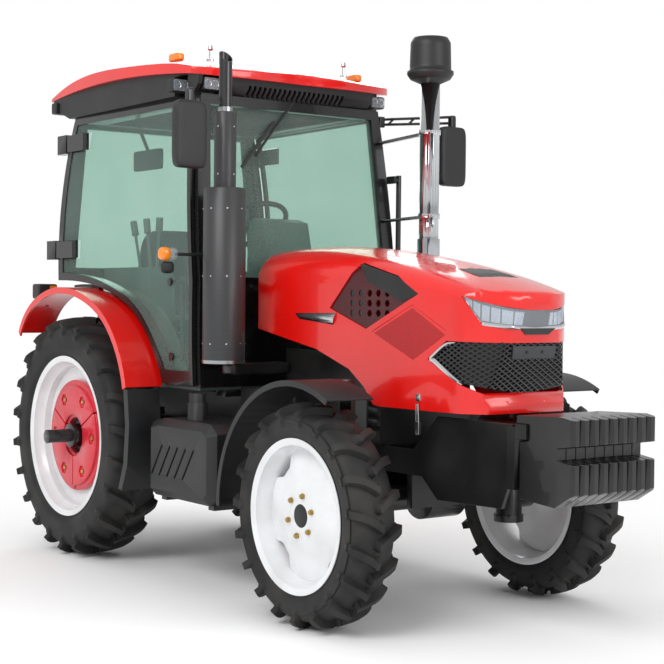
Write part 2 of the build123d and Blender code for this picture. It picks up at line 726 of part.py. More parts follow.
work_lamp_places = [(1050, -505, 1), (900, -590, 1), (1030, 540, 1), (-500, -555, -1), (-500, 555, -1)]
with BuildPart() as roof_soffit:
    with BuildSketch(Plane.XZ.offset(roof_half_width - 34)):
        with BuildLine():
            Polyline((roof_front_x - 30, 2560), (ahead(1080), 2440), (ahead(1035), 2400), (ahead(-330), 2400),
                     (ahead(-520), 2470), (roof_rear_x + 60, 2560), close=True)
        make_face()
    extrude(amount=-2 * (roof_half_width - 34))
    # everything above the hollow underside of the cap
    with BuildSketch(Plane.XZ.offset(700)):
        with BuildLine():
            under = Spline((roof_front_x, 2478), (ahead(600), 2530), (ahead(0), 2545), (roof_rear_x, 2515))
            Polyline(under @ 1, (roof_rear_x, 2700), (roof_front_x, 2700), under @ 0)
        make_face()
    extrude(amount=-1400, mode=Mode.SUBTRACT)
    # recesses for the work lamps
    for x, y, front in work_lamp_places:
        with Locations((ahead(x) + 20 * front, y, 2440)):
            Box(130, 116, 110, mode=Mode.SUBTRACT)
    with Locations((ahead(320), 0, 2440)):
        Box(1150, 900, 150, mode=Mode.SUBTRACT)
    # louvre slots across the front
    with BuildSketch(Plane.XY.offset(2404)):
        with Locations((ahead(1060), 0)):
            with GridLocations(0, 30, 1, 20):
                Rectangle(50, 14)
    extrude(amount=50, mode=Mode.SUBTRACT)
write(roof_soffit.part, "roof_soffit")

# Work lamps under the roof edge and at its rear corners
with BuildPart() as work_lamps:
    for x, y, front in work_lamp_places:
        with Locations((ahead(x), y, 2446 if front > 0 else 2474)):
            Box(60, 92, 62)
            with Locations((-front * 22, 0, 44)):
                Box(16, 16, 90)
    add(roof_cap.part, mode=Mode.SUBTRACT)
    add(roof_soffit.part, mode=Mode.SUBTRACT)
write(work_lamps.part, "work_lamps")

# Signal lamps: amber lamps on the roof, turn lamps on the front pillars, tail lamps on the fenders
with BuildPart() as signal_lamps:
    for side in (1, -1):
        with BuildSketch(Plane.XY.offset(2566)):
            with Locations((ahead(818), side * 556)):
                SlotOverall(110, 50)
        extrude(amount=60, taper=9)
        with Locations((ahead(1163), side * 790, 1604)):
            Box(64, 84, 66)
        # stay of the turn lamp from the pillar's front
        with Locations((ahead(1163), side * 662, 1604)):
            Cylinder(8, 184, rotation=(90, 0, 0))
        with Locations((ahead(1146), side * 576, 1604)):
            Box(64, 12, 44)
        with Locations((ahead(-372), side * 710, 1410)):
            Box(96, 120, 120)
    # seats: on the roof, the pillars, and along the curve of the fenders
    add(roof_cap.part, mode=Mode.SUBTRACT)
    add(cab_frame.part, mode=Mode.SUBTRACT)
    with BuildSketch(Plane.XZ.offset(900)):
        with BuildLine():
            add(arch_band(0, 120))
        make_face()
    extrude(amount=-1800, mode=Mode.SUBTRACT)
write(signal_lamps.part, "signal_lamps")

# Exhaust on the right: guarded silencer, upper guard and the slanted tail pipe
exhaust_at = (ahead(1285), -555)
with BuildPart() as exhaust:
    with BuildSketch(Plane.XY.offset(1085)):
        with Locations(exhaust_at):
            Circle(102)
    extrude(amount=835)
    with BuildSketch(Plane.XY.offset(1920)):
        with Locations(exhaust_at):
            Circle(53)
    extrude(amount=360)
    with BuildSketch(Plane.XY.offset(2280)):
        with Locations(exhaust_at):
            Circle(36)
    extrude(amount=26)
    with BuildSketch(Plane.XY.offset(2306)):
        with Locations(exhaust_at):
            Circle(32)
    extrude(amount=284)
    with BuildSketch(Plane.XY.offset(2400)):
        with Locations(exhaust_at):
            Circle(27)
    extrude(amount=240, mode=Mode.SUBTRACT)
    with BuildSketch(Plane.XZ.offset(-exhaust_at[1] - 60)):
        with BuildLine():
            Polyline((exhaust_at[0] - 60, 2640), (exhaust_at[0] + 60, 2640), (exhaust_at[0] + 60, 2490),
                     (exhaust_at[0] - 60, 2600), close=True)
        make_face()
    extrude(amount=120, mode=Mode.SUBTRACT)
    # elbow from the engine under the guard, and its foot bracket
    with Locations((exhaust_at[0] + 20, -381, 1060)):
        Box(90, 352, 60)
write(exhaust.part, "exhaust")

# Intake on the left: bright pipe with a drum precleaner on top
intake_at = (ahead(1620), 430)
with BuildPart() as intake_pipe:
    with BuildSketch(Plane.XY.offset(1090)):
        with Locations(intake_at):
            Circle(49)
    extrude(amount=1380)
    with BuildSketch(Plane.XY.offset(1090)):
        with Locations(intake_at):
            Circle(56)
    extrude(amount=610)
    with Locations((intake_at[0], 317, 1120)):
        Box(90, 224, 60)
    # clamps and their stays to the cab pillar
    for z in (1800, 2215):
        with BuildSketch(Plane.XY.offset(z)):
            with Locations(intake_at):
                Circle(55)
        extrude(amount=26)
        with BuildSketch(Plane.XY.offset(z + 4)):
            with BuildLine():
                Polyline((intake_at[0] - 30, intake_at[1] - 8), (screen_x(z) + 2, 534), (screen_x(z) + 2, 552),
                         (intake_at[0] - 30, intake_at[1] + 12), close=True)
            make_face()
        extrude(amount=16)
write(intake_pipe.part, "intake_pipe")

with BuildPart() as precleaner:
    with BuildSketch(Plane.XZ.offset(-intake_at[1])):
        with BuildLine():
            Polyline((intake_at[0], 2470), (intake_at[0] + 52, 2470), (intake_at[0] + 100, 2492),
                     (intake_at[0] + 116, 2516), (intake_at[0] + 116, 2530), (intake_at[0] + 104, 2534),
                     (intake_at[0] + 100, 2672), (intake_at[0] + 86, 2696), (intake_at[0], 2700), close=True)
        make_face()
    revolve(axis=Axis((intake_at[0], intake_at[1], 0), (0, 0, 1)))
write(precleaner.part, "precleaner")

# Mirrors on their arms, and the entry rails beside the front pillars
with BuildPart() as mirrors:
    for side in (1, -1):
        with Locations((ahead(1362), side * 797, 2152)):
            Box(54, 166, 312)
        with BuildSketch(Plane.YZ.offset(ahead(1355))):
            with BuildLine():
                Polyline((side * 770, 2300), (side * 770, 2352), (side * 800, 2370), (side * 812, 2352),
                         (side * 812, 2300), close=True)
            make_face()
        extrude(amount=18)
        with BuildSketch(Plane.XY.offset(2330)):
            with BuildLine():
                Polyline((ahead(1355), side * 775), (ahead(1370), side * 808), (ahead(1085), side * 640),
                         (ahead(1038), side * 596), (ahead(1038), side * 580), (ahead(1085), side * 590), close=True)
            make_face()
        extrude(amount=34)
        with BuildSketch(Plane.XZ.offset(-side * 556)):
            with Locations((ahead(1046), 2347)):
                Rectangle(18, 56)
        extrude(amount=-side * 40)
    # entry rail beside the left pillar
    for z in (1500, 2030):
        with Locations((ahead(1140), 570, z)):
            Box(74, 12, 40)
        with BuildSketch(Plane.XZ.offset(-564)):
            with Locations((ahead(1150), z)):
                Circle(10)
        extrude(amount=-50)
    with Locations((ahead(1150), 612, 1765)):
        Cylinder(14, 580)
    add(cab_frame.part, mode=Mode.SUBTRACT)
    add(signal_lamps.part, mode=Mode.SUBTRACT)
write(mirrors.part, "mirrors")

# Driver's seat on its pedestal
seat_x = ahead(120)
with BuildPart() as seat:
    with Locations((seat_x, 0, (floor_z + 1210) / 2)):
        Box(300, 320, 1210 - floor_z)
    with BuildSketch(Plane.XZ.offset(240)):
        with BuildLine():
            Polyline((seat_x - 230, 1200), (seat_x + 250, 1200), (seat_x + 262, 1290), (seat_x - 120, 1300),
                     (seat_x - 250, 1790), (seat_x - 320, 1790), (seat_x - 250, 1300), close=True)
        make_face()
    extrude(amount=-480)
    fillet(seat.edges().filter_by(Axis.Y), 16)
write(seat.part, "seat")

# Dash with the steering column, and the side console with its levers
column_foot = (ahead(853), 1507)
column_axis = (-0.55, 0, 0.835)
column_length = 308
with BuildPart() as console:
    add(along_y([(ahead(840), floor_z), (ahead(840), 1600), (ahead(850), 1690), (ahead(856), 1788), (ahead(900), 1812),
                 (ahead(985), 1790), (ahead(1010), 1690), (ahead(1040), 1600), (ahead(1062), floor_z)], -140, 140))
    with BuildSketch(Plane(origin=(column_foot[0], 0, column_foot[1]), z_dir=column_axis)):
        Circle(34)
    extrude(amount=column_length)
    # side console over the right wheel house, levers on it
    add(along_y([(ahead(-180), 1380), (ahead(-180), 1560), (ahead(330), 1560), (ahead(372), 1500), (ahead(372), 1290),
                 (ahead(200), 1360)], -440, -300))
    for x, lean in ((ahead(120), -18), (ahead(230), -10), (ahead(300), 6)):
        with BuildSketch(Plane(origin=(x, -370, 1550), z_dir=(sin(radians(lean)), 0, cos(radians(lean))))):
            Circle(8)
        extrude(amount=210)
        with BuildSketch(Plane(origin=(x + 200 * sin(radians(lean)), -370, 1550 + 200 * cos(radians(lean))),
                               z_dir=(sin(radians(lean)), 0, cos(radians(lean))))):
            Circle(19)
        extrude(amount=78)
write(console.part, "console")

wheel_lean = Plane(origin=(column_foot[0] - 0.55 * 315, 0, column_foot[1] + 0.835 * 315), z_dir=column_axis)
with BuildPart() as steering_wheel:
    with BuildSketch(wheel_lean):
        Circle(40)
    extrude(amount=34)
    with BuildSketch(Plane(origin=wheel_lean.origin, z_dir=(0, 1, 0), x_dir=wheel_lean.x_dir)):
        with Locations((190, -24)):
            Circle(14)
    revolve(axis=Axis(wheel_lean.origin, wheel_lean.z_dir))
    for turn in (90, 210, 330):
        with BuildSketch(wheel_lean.offset(6)):
            with PolarLocations(110, 1, start_angle=turn):
                Rectangle(150, 30)
        extrude(amount=16)
write(steering_wheel.part, "steering_wheel")

# Hood: rounded sections lofted from the cab to the nose, cut by the plan of the nose and by
# its front outline. The same form with an inset makes the hollow.
hood_sections = [(1250, 1642, 336, 120), (1500, 1652, 334, 110), (1850, 1632, 328, 95), (2200, 1584, 318, 80),
                 (2560, 1512, 300, 66), (2880, 1418, 270, 52)]
hood_foot = [(1255, 1250), (1730, 1166), (1975, 1085), (2085, 1010), (2150, 935), (2185, 930)]
nose_front = [(2785, 930), (2792, 966), (2766, 1000), (2792, 1060), (2826, 1180), (2842, 1290), (2860, 1375),
              (2856, 1440)]


def hood_form(inset):
    with BuildPart() as form:
        for x, top_z, half_width, radius in hood_sections:
            w, z, r = half_width - inset, top_z - inset, radius - inset / 2
            with BuildSketch(Plane.YZ.offset(ahead(x))):
                with BuildLine():
                    crown = ThreePointArc((-w + r, z - 22), (0, z), (w - r, z - 22))
                    left = TangentArc(crown @ 1, (w, z - 22 - r * 0.9), tangent=crown % 1)
                    right = TangentArc(crown @ 0, (-w, z - 22 - r * 0.9), tangent=-(crown % 0))
                    Polyline(left @ 1, (w, 860), (-w, 860), right @ 1)
                make_face()
        loft()
        # rounded plan of the nose
        with BuildSketch(Plane.XY.offset(800)):
            with BuildLine():
                nose = Spline((ahead(2350), -400), (ahead(2600), -330 + inset), (ahead(2770), -228 + inset),
                              (ahead(2862 - inset), 0), (ahead(2770), 228 - inset), (ahead(2600), 330 - inset),
                              (ahead(2350), 400))
                Polyline(nose @ 1, (ahead(1100), 400), (ahead(1100), -400), nose @ 0)
            make_face()
        extrude(amount=1000, mode=Mode.INTERSECT)
        # front outline of the nose in the side view
        with BuildSketch(Plane.XZ.offset(500)):
            with BuildLine():
                Polyline(*[(ahead(x - inset), z) for x, z in nose_front], (ahead(2850), 1800), (ahead(1100), 1800),
                         (ahead(1100), 840), (ahead(2785 - inset), 840), close=True)
            make_face()
        extrude(amount=-1000, mode=Mode.INTERSECT)
    return form.part


with BuildPart() as hood:
    add(hood_form(0))
    add(hood_form(hood_wall), mode=Mode.SUBTRACT)
    # lower edge: rises from the nose to the cab in the side view
    add(along_y([(ahead(x), z) for x, z in hood_foot]
                + [(ahead(2900), hood_bottom_z), (ahead(2900), 800), (ahead(1180), 800), (ahead(1180), 1250)],
                -400, 400), mode=Mode.SUBTRACT)
    # headlamp band and grille opening, wrapping round the nose
    add(along_y([(ahead(2690), 1416), (ahead(2900), 1345), (ahead(2900), 1276), (ahead(2760), 1300)], -400, 400),
        mode=Mode.SUBTRACT)
    add(along_y([(ahead(2500), 1148), (ahead(2610), 1228), (ahead(2900), 1222), (ahead(2900), 1004),
                 (ahead(2790), 1004), (ahead(2660), 1062)], -400, 400), mode=Mode.SUBTRACT)
    # side windows for the mesh panels
    for y_from in (-400, 200):
        add(along_y([(ahead(2040), 1560), (ahead(2300), 1500), (ahead(2440), 1422), (ahead(2095), 1266),
                     (ahead(1830), 1356)], y_from, y_from + 200), mode=Mode.SUBTRACT)
write(hood.part, "hood")

# Grille behind the nose opening: slanted bars on a backing shell, lamp recess and blank plate
grille_outline = [(ahead(2492), 1148), (ahead(2602), 1236), (ahead(2900), 1230), (ahead(2900), 996),
                  (ahead(2788), 996), (ahead(2652), 1056)]
with BuildPart() as grille:
    add(hood_form(hood_wall))
    add(hood_form(hood_wall + 12), mode=Mode.SUBTRACT)
    add(along_y(grille_outline, -400, 400), mode=Mode.INTERSECT)
    # open mesh of rows of slots on both flanks
    with BuildSketch(Plane.XZ.offset(400)):
        with Locations((ahead(2640), 1146)):
            with GridLocations(34, 34, 5, 4):
                Rectangle(22, 20, rotation=30)
    extrude(amount=-800, mode=Mode.SUBTRACT)
    # rows of slots across the front
    with BuildSketch(Plane.YZ.offset(ahead(2700))):
        with Locations((0, 1040)):
            with GridLocations(32, 30, 10, 2):
                Rectangle(22, 18, rotation=30)
        with Locations((0, 1168)):
            with GridLocations(32, 30, 3, 1):
                Rectangle(1, 1)
    extrude(amount=200, mode=Mode.SUBTRACT)
    # number plate blank with two holes, and the lamp recess under it
    with BuildSketch(Plane.YZ.offset(ahead(2806))):
        with Locations((0, 1184)):
            Rectangle(250, 56)
            with Locations((44, 0), (-44, 0)):
                Circle(5, mode=Mode.SUBTRACT)
    extrude(amount=22)
    for side in (1, -1):
        with BuildSketch(Plane.YZ.offset(ahead(2752))):
            with Locations((side * 123, 1101)):
                Circle(30)
        extrude(amount=40)
write(grille.part, "grille")

# Headlamps in one band round the nose
with BuildPart() as headlamps:
    add(hood_form(2))
    add(hood_form(34), mode=Mode.SUBTRACT)
    add(along_y([(ahead(2696), 1413), (ahead(2900), 1343), (ahead(2900), 1278), (ahead(2762), 1302)], -400, 400),
        mode=Mode.INTERSECT)
write(headlamps.part, "headlamps")

# Perforated side panels set in the hood's windows
with BuildPart() as side_panels:
    add(hood_form(hood_wall))
    add(hood_form(hood_wall + 6), mode=Mode.SUBTRACT)
    pentagon = [(ahead(2038), 1576), (ahead(2304), 1516), (ahead(2464), 1424), (ahead(2098), 1252),
                (ahead(1808), 1354)]
    add(along_y(pentagon, -400, -200) + along_y(pentagon, 200, 400), mode=Mode.INTERSECT)
    with BuildSketch(Plane.XZ.offset(400)):
        with Locations((ahead(2110), 1380)):
            with GridLocations(60, 44, 5, 3):
                RegularPolygon(17, 6)
    extrude(amount=-800, mode=Mode.SUBTRACT)
write(side_panels.part, "side_panels")

# Three-point linkage: lower links, lift arms on their cross shaft, and the rods between
link_pivot = (ahead(-150), 420)
link_ball_x = -half_length + 30
link_y = 330
link_ball_z = 470
arm_pivot = (ahead(-252), 945)
arm_end = (ahead(-500), 1005)
rod_foot = (ahead(-590), 448)
with BuildPart() as lower_links:
    for side in (1, -1):
        y_from, y_to = sorted((side * link_y - 10, side * link_y + 10))
        add(along_y([(link_pivot[0] - 20, link_pivot[1] - 26), (link_pivot[0] - 20, link_pivot[1] + 26),
                     (link_ball_x + 20, link_ball_z + 26), (link_ball_x + 20, link_ball_z - 26)], y_from, y_to))
        for x, z, r in ((*link_pivot, 30), (link_ball_x, link_ball_z, 30)):
            with BuildSketch(Plane.XZ.offset(-(side * link_y - 20))):
                with Locations((x, z)):
                    Circle(r)
            extrude(amount=-40)
            with BuildSketch(Plane.XZ.offset(-(side * link_y - 30))):
                with Locations((x, z)):
                    Circle(14.3)
            extrude(amount=-60, mode=Mode.SUBTRACT)
write(lower_links.part, "lower_links")

with BuildPart() as lift_arms:
    with BuildSketch(Plane.XZ.offset(-250)):
        with Locations(arm_pivot):
            Circle(28)
    extrude(amount=500)
    for side in (1, -1):
        y_from, y_to = sorted((side * 226, side * 250))
        add(along_y([(arm_pivot[0] + 10, arm_pivot[1] - 34), (arm_pivot[0] + 10, arm_pivot[1] + 38),
                     (arm_end[0] + 6, arm_end[1] + 24), (arm_end[0] - 22, arm_end[1]), (arm_end[0] + 6, arm_end[1] - 24)],
                    y_from, y_to))
        with BuildSketch(Plane.XZ.offset(-side * 226)):
            with Locations(arm_end):
                Circle(12)
        extrude(amount=-side * 80)
write(lift_arms.part, "lift_arms")

with BuildPart() as lift_rods:
    for side in (1, -1):
        rod_y = side * 290
        along = Vector(rod_foot[0] - arm_end[0], 0, rod_foot[1] - arm_end[1])
        # upper eye on the arm's pin, screw rod and the open fork over the link
        with BuildSketch(Plane.XZ.offset(-(rod_y - 13))):
            with Locations(arm_end):
                Circle(28)
                Circle(12.3, mode=Mode.SUBTRACT)
        extrude(amount=-26)
        start = Vector(arm_end[0], rod_y, arm_end[1]) + along.normalized() * 24
        with BuildSketch(Plane(origin=tuple(start), z_dir=tuple(along))):
            Circle(13)
        extrude(amount=along.length - 90)
        barrel = start + along.normalized() * 150
        with BuildSketch(Plane(origin=tuple(barrel), z_dir=tuple(along))):
            Circle(20)
        extrude(amount=190)
write(lift_rods.part, "lift_rods")

# Rear frame: link anchor, top link bracket with the top link, drawbar and power shaft
drawbar_pin_x = ahead(-620)
with BuildPart() as rear_hitch:
    with Locations((ahead(-235), 0, 560)):
        Box(40, 420, 180)
    for side in (1, -1):
        with BuildSketch(Plane.XZ.offset(-side * 200)):
            with Locations(link_pivot):
                Circle(14)
        extrude(amount=-side * 170)
        with Locations((ahead(-170), side * 205, 450)):
            Box(100, 30, 150)
    # two bearings of the lift shaft
    for y in (-150, 150):
        with Locations((ahead(-255), y, 900)):
            Box(80, 30, 170)
    with BuildSketch(Plane.XZ.offset(200)):
        with Locations(arm_pivot):
            Circle(28.1)
    extrude(amount=-400, mode=Mode.SUBTRACT)
    # drawbar with its pin hole
    with Locations((ahead(-400), 0, 330)):
        Box(560, 76, 26)
    with BuildSketch(Plane.XY.offset(300)):
        with Locations((drawbar_pin_x, 0)):
            Circle(13)
    extrude(amount=60, mode=Mode.SUBTRACT)
    with Locations((ahead(-225), 0, 395)):
        Box(60, 200, 170)
    # power shaft
    with BuildSketch(Plane.YZ.offset(ahead(-365))):
        with Locations((0, 600)):
            Circle(17.5)
    extrude(amount=130)
    # top link bracket and the link carried raised
    for y in (-34, 22):
        with Locations((ahead(-275), y + 6, 790)):
            Box(120, 12, 140)
    with BuildSketch(Plane.XZ.offset(40)):
        with Locations((ahead(-280), 800)):
            Circle(12)
    extrude(amount=-80)
    with Locations((ahead(-280), 0, 800)):
        Box(50, 42, 50)
    with BuildSketch(Plane(origin=(ahead(-290), 0, 800), z_dir=(-0.94, 0, -0.34))):
        Circle(16)
    extrude(amount=380)
    ball = (ahead(-290) - 0.94 * 400, 800 - 0.34 * 400)
    with BuildSketch(Plane.XZ.offset(22)):
        with Locations(ball):
            Circle(30)
    extrude(amount=-44)
    with BuildSketch(Plane.XZ.offset(40)):
        with Locations(ball):
            Circle(12.8)
    extrude(amount=-80, mode=Mode.SUBTRACT)
write(rear_hitch.part, "rear_hitch")
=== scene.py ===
import json
from math import cos, pi, radians, sin

import bmesh
import bpy
import numpy as np
from mathutils import Matrix, Vector

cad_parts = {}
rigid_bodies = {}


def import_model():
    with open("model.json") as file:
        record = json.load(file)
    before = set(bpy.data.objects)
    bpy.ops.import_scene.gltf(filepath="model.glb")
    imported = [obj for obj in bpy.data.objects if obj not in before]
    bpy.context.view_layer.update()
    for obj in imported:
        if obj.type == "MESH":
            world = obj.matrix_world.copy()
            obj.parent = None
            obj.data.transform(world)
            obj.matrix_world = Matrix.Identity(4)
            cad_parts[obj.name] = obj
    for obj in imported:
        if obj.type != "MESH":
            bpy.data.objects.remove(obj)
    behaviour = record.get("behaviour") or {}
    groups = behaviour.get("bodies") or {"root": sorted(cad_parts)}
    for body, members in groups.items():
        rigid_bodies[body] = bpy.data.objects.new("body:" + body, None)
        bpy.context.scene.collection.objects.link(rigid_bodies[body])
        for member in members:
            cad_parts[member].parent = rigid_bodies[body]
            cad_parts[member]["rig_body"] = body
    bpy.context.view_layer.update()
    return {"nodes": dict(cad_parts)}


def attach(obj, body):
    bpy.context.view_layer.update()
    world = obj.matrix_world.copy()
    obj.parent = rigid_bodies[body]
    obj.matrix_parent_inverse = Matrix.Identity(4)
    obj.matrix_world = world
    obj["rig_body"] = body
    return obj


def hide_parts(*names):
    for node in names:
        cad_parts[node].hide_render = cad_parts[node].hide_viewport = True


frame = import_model()  # the CAD nodes by name, each riding on its body
print("frame loaded")

rearAxleX = -1.150  # the rear axle in the row's frame; places below are mm ahead of it, to the left and up


def at(x, y, z):
    # row place in metres from millimetres ahead of the rear axle, to the left and up
    x, y, z = np.asarray(x) / 1000 + rearAxleX, np.asarray(y) / 1000, np.asarray(z) / 1000
    return np.stack(np.broadcast_arrays(x, y, z), -1)


def hexColour(code):
    # sRGB hex to linear, by the usual two-part curve
    srgb = [int(code[i:i + 2], 16) / 255 for i in (1, 3, 5)]
    return tuple(c / 12.92 if c <= 0.04045 else ((c + 0.055) / 1.055) ** 2.4 for c in srgb) + (1.0,)


def addNode(tree, kind, settings=None, stops=(), **links):
    # one node: settings are its own values, stops a ramp's (position, hex), and each link an input by its
    # name, or by its number as i6; a socket is linked and anything else set directly
    node = tree.nodes.new(kind)
    for key, value in (settings or {}).items():
        setattr(node, key, value)
    for number, (position, code) in enumerate(stops):
        ends = node.color_ramp.elements
        element = ends[number] if number < len(ends) else ends.new(position)
        element.position, element.color = position, hexColour(code)
    for key, value in links.items():
        name = key.replace("_", " ")
        socket = node.inputs[int(name[1:])] if name[1:].isdigit() else node.inputs[name]
        if isinstance(value, bpy.types.NodeSocket):
            tree.links.new(value, socket)
        else:
            socket.default_value = value
    return node


def newMaterial(name):
    # empty node material: its tree, its output and the Object coordinates
    material = bpy.data.materials.new(name)
    material.use_nodes = True
    tree = material.node_tree
    tree.nodes.clear()
    out = tree.nodes.new("ShaderNodeOutputMaterial")
    return material, tree, out, addNode(tree, "ShaderNodeTexCoord").outputs["Object"]


def coated(name, colour, worn, roughness, grain, bump, dirt="#6B6257", dirtAmount=0.0, metallic=0.0,
           coat=0.0, specular=0.5):
    # paint, plastic, rubber or plate: two tones in broad patches, dust in some of them, a fine bump 'grain'
    # metres across that also varies the roughness
    material, tree, out, place = newMaterial(name)
    fine = addNode(tree, "ShaderNodeTexNoise", Vector=place, Scale=1 / grain, Detail=3.0).outputs["Fac"]
    broad = addNode(tree, "ShaderNodeTexNoise", Vector=place, Scale=5.0, Detail=4.0).outputs["Fac"]
    tone = addNode(tree, "ShaderNodeValToRGB", stops=[(0.35, colour), (0.7, worn)], Fac=broad).outputs["Color"]
    if dirtAmount > 0:
        mask = addNode(tree, "ShaderNodeMapRange", {"clamp": True}, Value=broad, From_Min=0.42, From_Max=0.75,
                       To_Max=dirtAmount).outputs["Result"]
        tone = addNode(tree, "ShaderNodeMix", {"data_type": "RGBA"}, Factor=mask, i6=tone,
                       i7=hexColour(dirt)).outputs[2]
    rough = addNode(tree, "ShaderNodeMapRange", Value=fine, To_Min=max(0.02, roughness - 0.06),
                    To_Max=roughness + 0.08).outputs["Result"]
    relief = addNode(tree, "ShaderNodeBump", Height=fine, Strength=bump, Distance=grain * 0.4)
    shader = addNode(tree, "ShaderNodeBsdfPrincipled", Base_Color=tone, Roughness=rough,
                     Normal=relief.outputs["Normal"], Metallic=metallic, Coat_Weight=coat, Coat_Roughness=0.04,
                     Specular_IOR_Level=specular)
    tree.links.new(shader.outputs[0], out.inputs["Surface"])
    return material


roadDust = "#4C463E"
# Baked enamel over pressed steel: clear gloss, a faint orange peel some 4 mm across
redEnamel = coated("bakedRedEnamel", "#E30F08", "#DA0D07", 0.24, 0.004, 0.02, coat=0.6)
# Enamel on cast iron, sprayed on the rough casting: a bluer red, less even
castRedEnamel = coated("castIronRedEnamel", "#D2142C", "#C41127", 0.30, 0.003, 0.18, coat=0.4)
# White rim enamel with road dust settled on it
whiteEnamel = coated("rimWhiteEnamel", "#E6E8EA", "#DCDEE0", 0.28, 0.003, 0.03, "#A9A294", 0.16, coat=0.3)
# Black stove enamel on tube and sheet: smooth, with sharp small highlights
blackEnamel = coated("stoveBlackEnamel", "#0C0C0D", "#131314", 0.26, 0.0025, 0.04, coat=0.35)
# Black chassis paint over cast iron: sand-cast grain of 2 mm under gloss
castBlack = coated("castIronBlackPaint", "#0B0B0C", "#161617", 0.30, 0.002, 0.22, roadDust, 0.10, coat=0.3)
# The same paint on plate, where it dries nearly flat
chassisBlack = coated("chassisBlackPaint", "#0D0D0E", "#171718", 0.34, 0.0025, 0.08, roadDust, 0.10)
# Natural rubber with carbon black: matt, dusty on the high parts
tyreRubber = coated("carbonBlackRubber", "#1A1A1B", "#232324", 0.62, 0.0015, 0.16, "#57534C", 0.22,
                    specular=0.35)
# Moulded polypropylene with a leather-like spark-eroded grain of about 1 mm
blackPlastic = coated("mouldedPolypropylene", "#17181A", "#1D1E20", 0.46, 0.0012, 0.16, "#4E4A44", 0.06)
# Moulded ABS of the cab's lining and of the plate's blank: a soft even sheen
greyPlastic = coated("mouldedGreyABS", "#5E6B69", "#56625F", 0.50, 0.0012, 0.14)
plateGrey = coated("plateGreyABS", "#3C3D3F", "#444547", 0.5, 0.001, 0.12)
# Hard chrome, yellow zinc and brushed stainless: metals keep the default IOR
chromePlate = coated("chromePlate", "#D4D6D9", "#C2C4C8", 0.10, 0.002, 0.02, metallic=1.0)
zincPlate = coated("yellowZincPlate", "#C9A45A", "#9D8450", 0.32, 0.0015, 0.06, metallic=1.0)
brightSteel = coated("brushedStainless", "#B9BBBD", "#A3A5A8", 0.24, 0.0010, 0.06, metallic=1.0)
# Dyed polycarbonate lenses, glossy, and the bright vacuum coating of a lamp's bowl
amberLens = coated("amberPolycarbonate", "#F08A12", "#E57A0A", 0.12, 0.003, 0.05, coat=0.6)
redLens = coated("redPolycarbonate", "#B8120E", "#A80F0C", 0.12, 0.003, 0.05, coat=0.6)
reflector = coated("vacuumMetallisedReflector", "#E6E9EC", "#C9CDD2", 0.16, 0.004, 0.10, metallic=0.9)


def clearSheet(name, tint, body, amount, roughness=0.02):
    # glazing: most light passes with the tint, the rest meets a glossy sheet of the body colour
    material, tree, out, place = newMaterial(name)
    haze = addNode(tree, "ShaderNodeTexNoise", Vector=place, Scale=3.0, Detail=2.0).outputs["Fac"]
    shade = addNode(tree, "ShaderNodeValToRGB", stops=[(0.3, body), (0.75, tint)], Fac=haze).outputs["Color"]
    through = addNode(tree, "ShaderNodeBsdfTransparent", Color=hexColour(tint)).outputs[0]
    sheet = addNode(tree, "ShaderNodeBsdfPrincipled", Base_Color=shade, Roughness=roughness).outputs[0]
    both = addNode(tree, "ShaderNodeMixShader", Fac=amount, i1=through, i2=sheet)
    tree.links.new(both.outputs[0], out.inputs["Surface"])
    return material


# Green body-tinted safety glass: each face of a pane tints once, so two panes tint four times
tintedGlass = clearSheet("greenTintedSafetyGlass", "#E3F0EB", "#B9D0C9", 0.10)
# Clear polycarbonate over the lamps
lampLens = clearSheet("clearPolycarbonate", "#F4F7FA", "#DDE3EA", 0.16)


def perforated(name, metal, holeShadeColour, pitch, share, sleeve=None):
    # punched sheet: a diagonal grid of round holes at the pitch, laid on the side view's plane or, where a
    # sleeve (x, y, radius) is given, on the angle round it times its radius against the height
    material, tree, out, place = newMaterial(name)
    if sleeve:
        x, y, radius = sleeve
        moved = addNode(tree, "ShaderNodeMapping", Vector=place, Location=(-x, -y, 0)).outputs["Vector"]
        part = addNode(tree, "ShaderNodeSeparateXYZ", Vector=moved)
        angle = addNode(tree, "ShaderNodeMath", {"operation": "ARCTAN2"}, i0=part.outputs["Y"],
                        i1=part.outputs["X"])
        arc = addNode(tree, "ShaderNodeMath", {"operation": "MULTIPLY"}, i0=angle.outputs[0], i1=radius)
        place = addNode(tree, "ShaderNodeCombineXYZ", X=arc.outputs[0], Z=part.outputs["Z"]).outputs["Vector"]
    laid = addNode(tree, "ShaderNodeMapping", Vector=place, Rotation=(-pi / 2, 0, pi / 4)).outputs["Vector"]
    cells = addNode(tree, "ShaderNodeTexVoronoi", {"feature": "F1", "voronoi_dimensions": "2D"}, Vector=laid,
                    Scale=1 / pitch, Randomness=0.0)
    inHole = addNode(tree, "ShaderNodeMath", {"operation": "LESS_THAN"}, i0=cells.outputs["Distance"],
                     i1=share).outputs[0]
    # the holes take a darker copy of the sheet's colour: painted shade for the view through them
    tone = addNode(tree, "ShaderNodeMix", {"data_type": "RGBA"}, Factor=inHole, i6=hexColour(metal),
                   i7=hexColour(holeShadeColour)).outputs[2]
    relief = addNode(tree, "ShaderNodeBump", {"invert": True}, Height=inHole, Strength=0.5, Distance=0.001)
    shader = addNode(tree, "ShaderNodeBsdfPrincipled", Base_Color=tone, Roughness=0.38,
                     Normal=relief.outputs["Normal"])
    tree.links.new(shader.outputs[0], out.inputs["Surface"])
    return material


# Punched steel, drawn at twice its real pitch so that the holes show in the render
exhaustAt = (1285, -555)
# each sheet's second colour is painted shade inside its holes
guardSheet = perforated("punchedSteelGuard", "#3F4042", "#101011", 0.008, 0.34,
                        (exhaustAt[0] / 1000 + rearAxleX, exhaustAt[1] / 1000, 0.102))
panelSheet = perforated("punchedPanelBurgundy", "#5A0D15", "#16080A", 0.012, 0.36)
redPanelSheet = perforated("punchedPanelRed", "#C21218", "#6E0A0E", 0.010, 0.30)


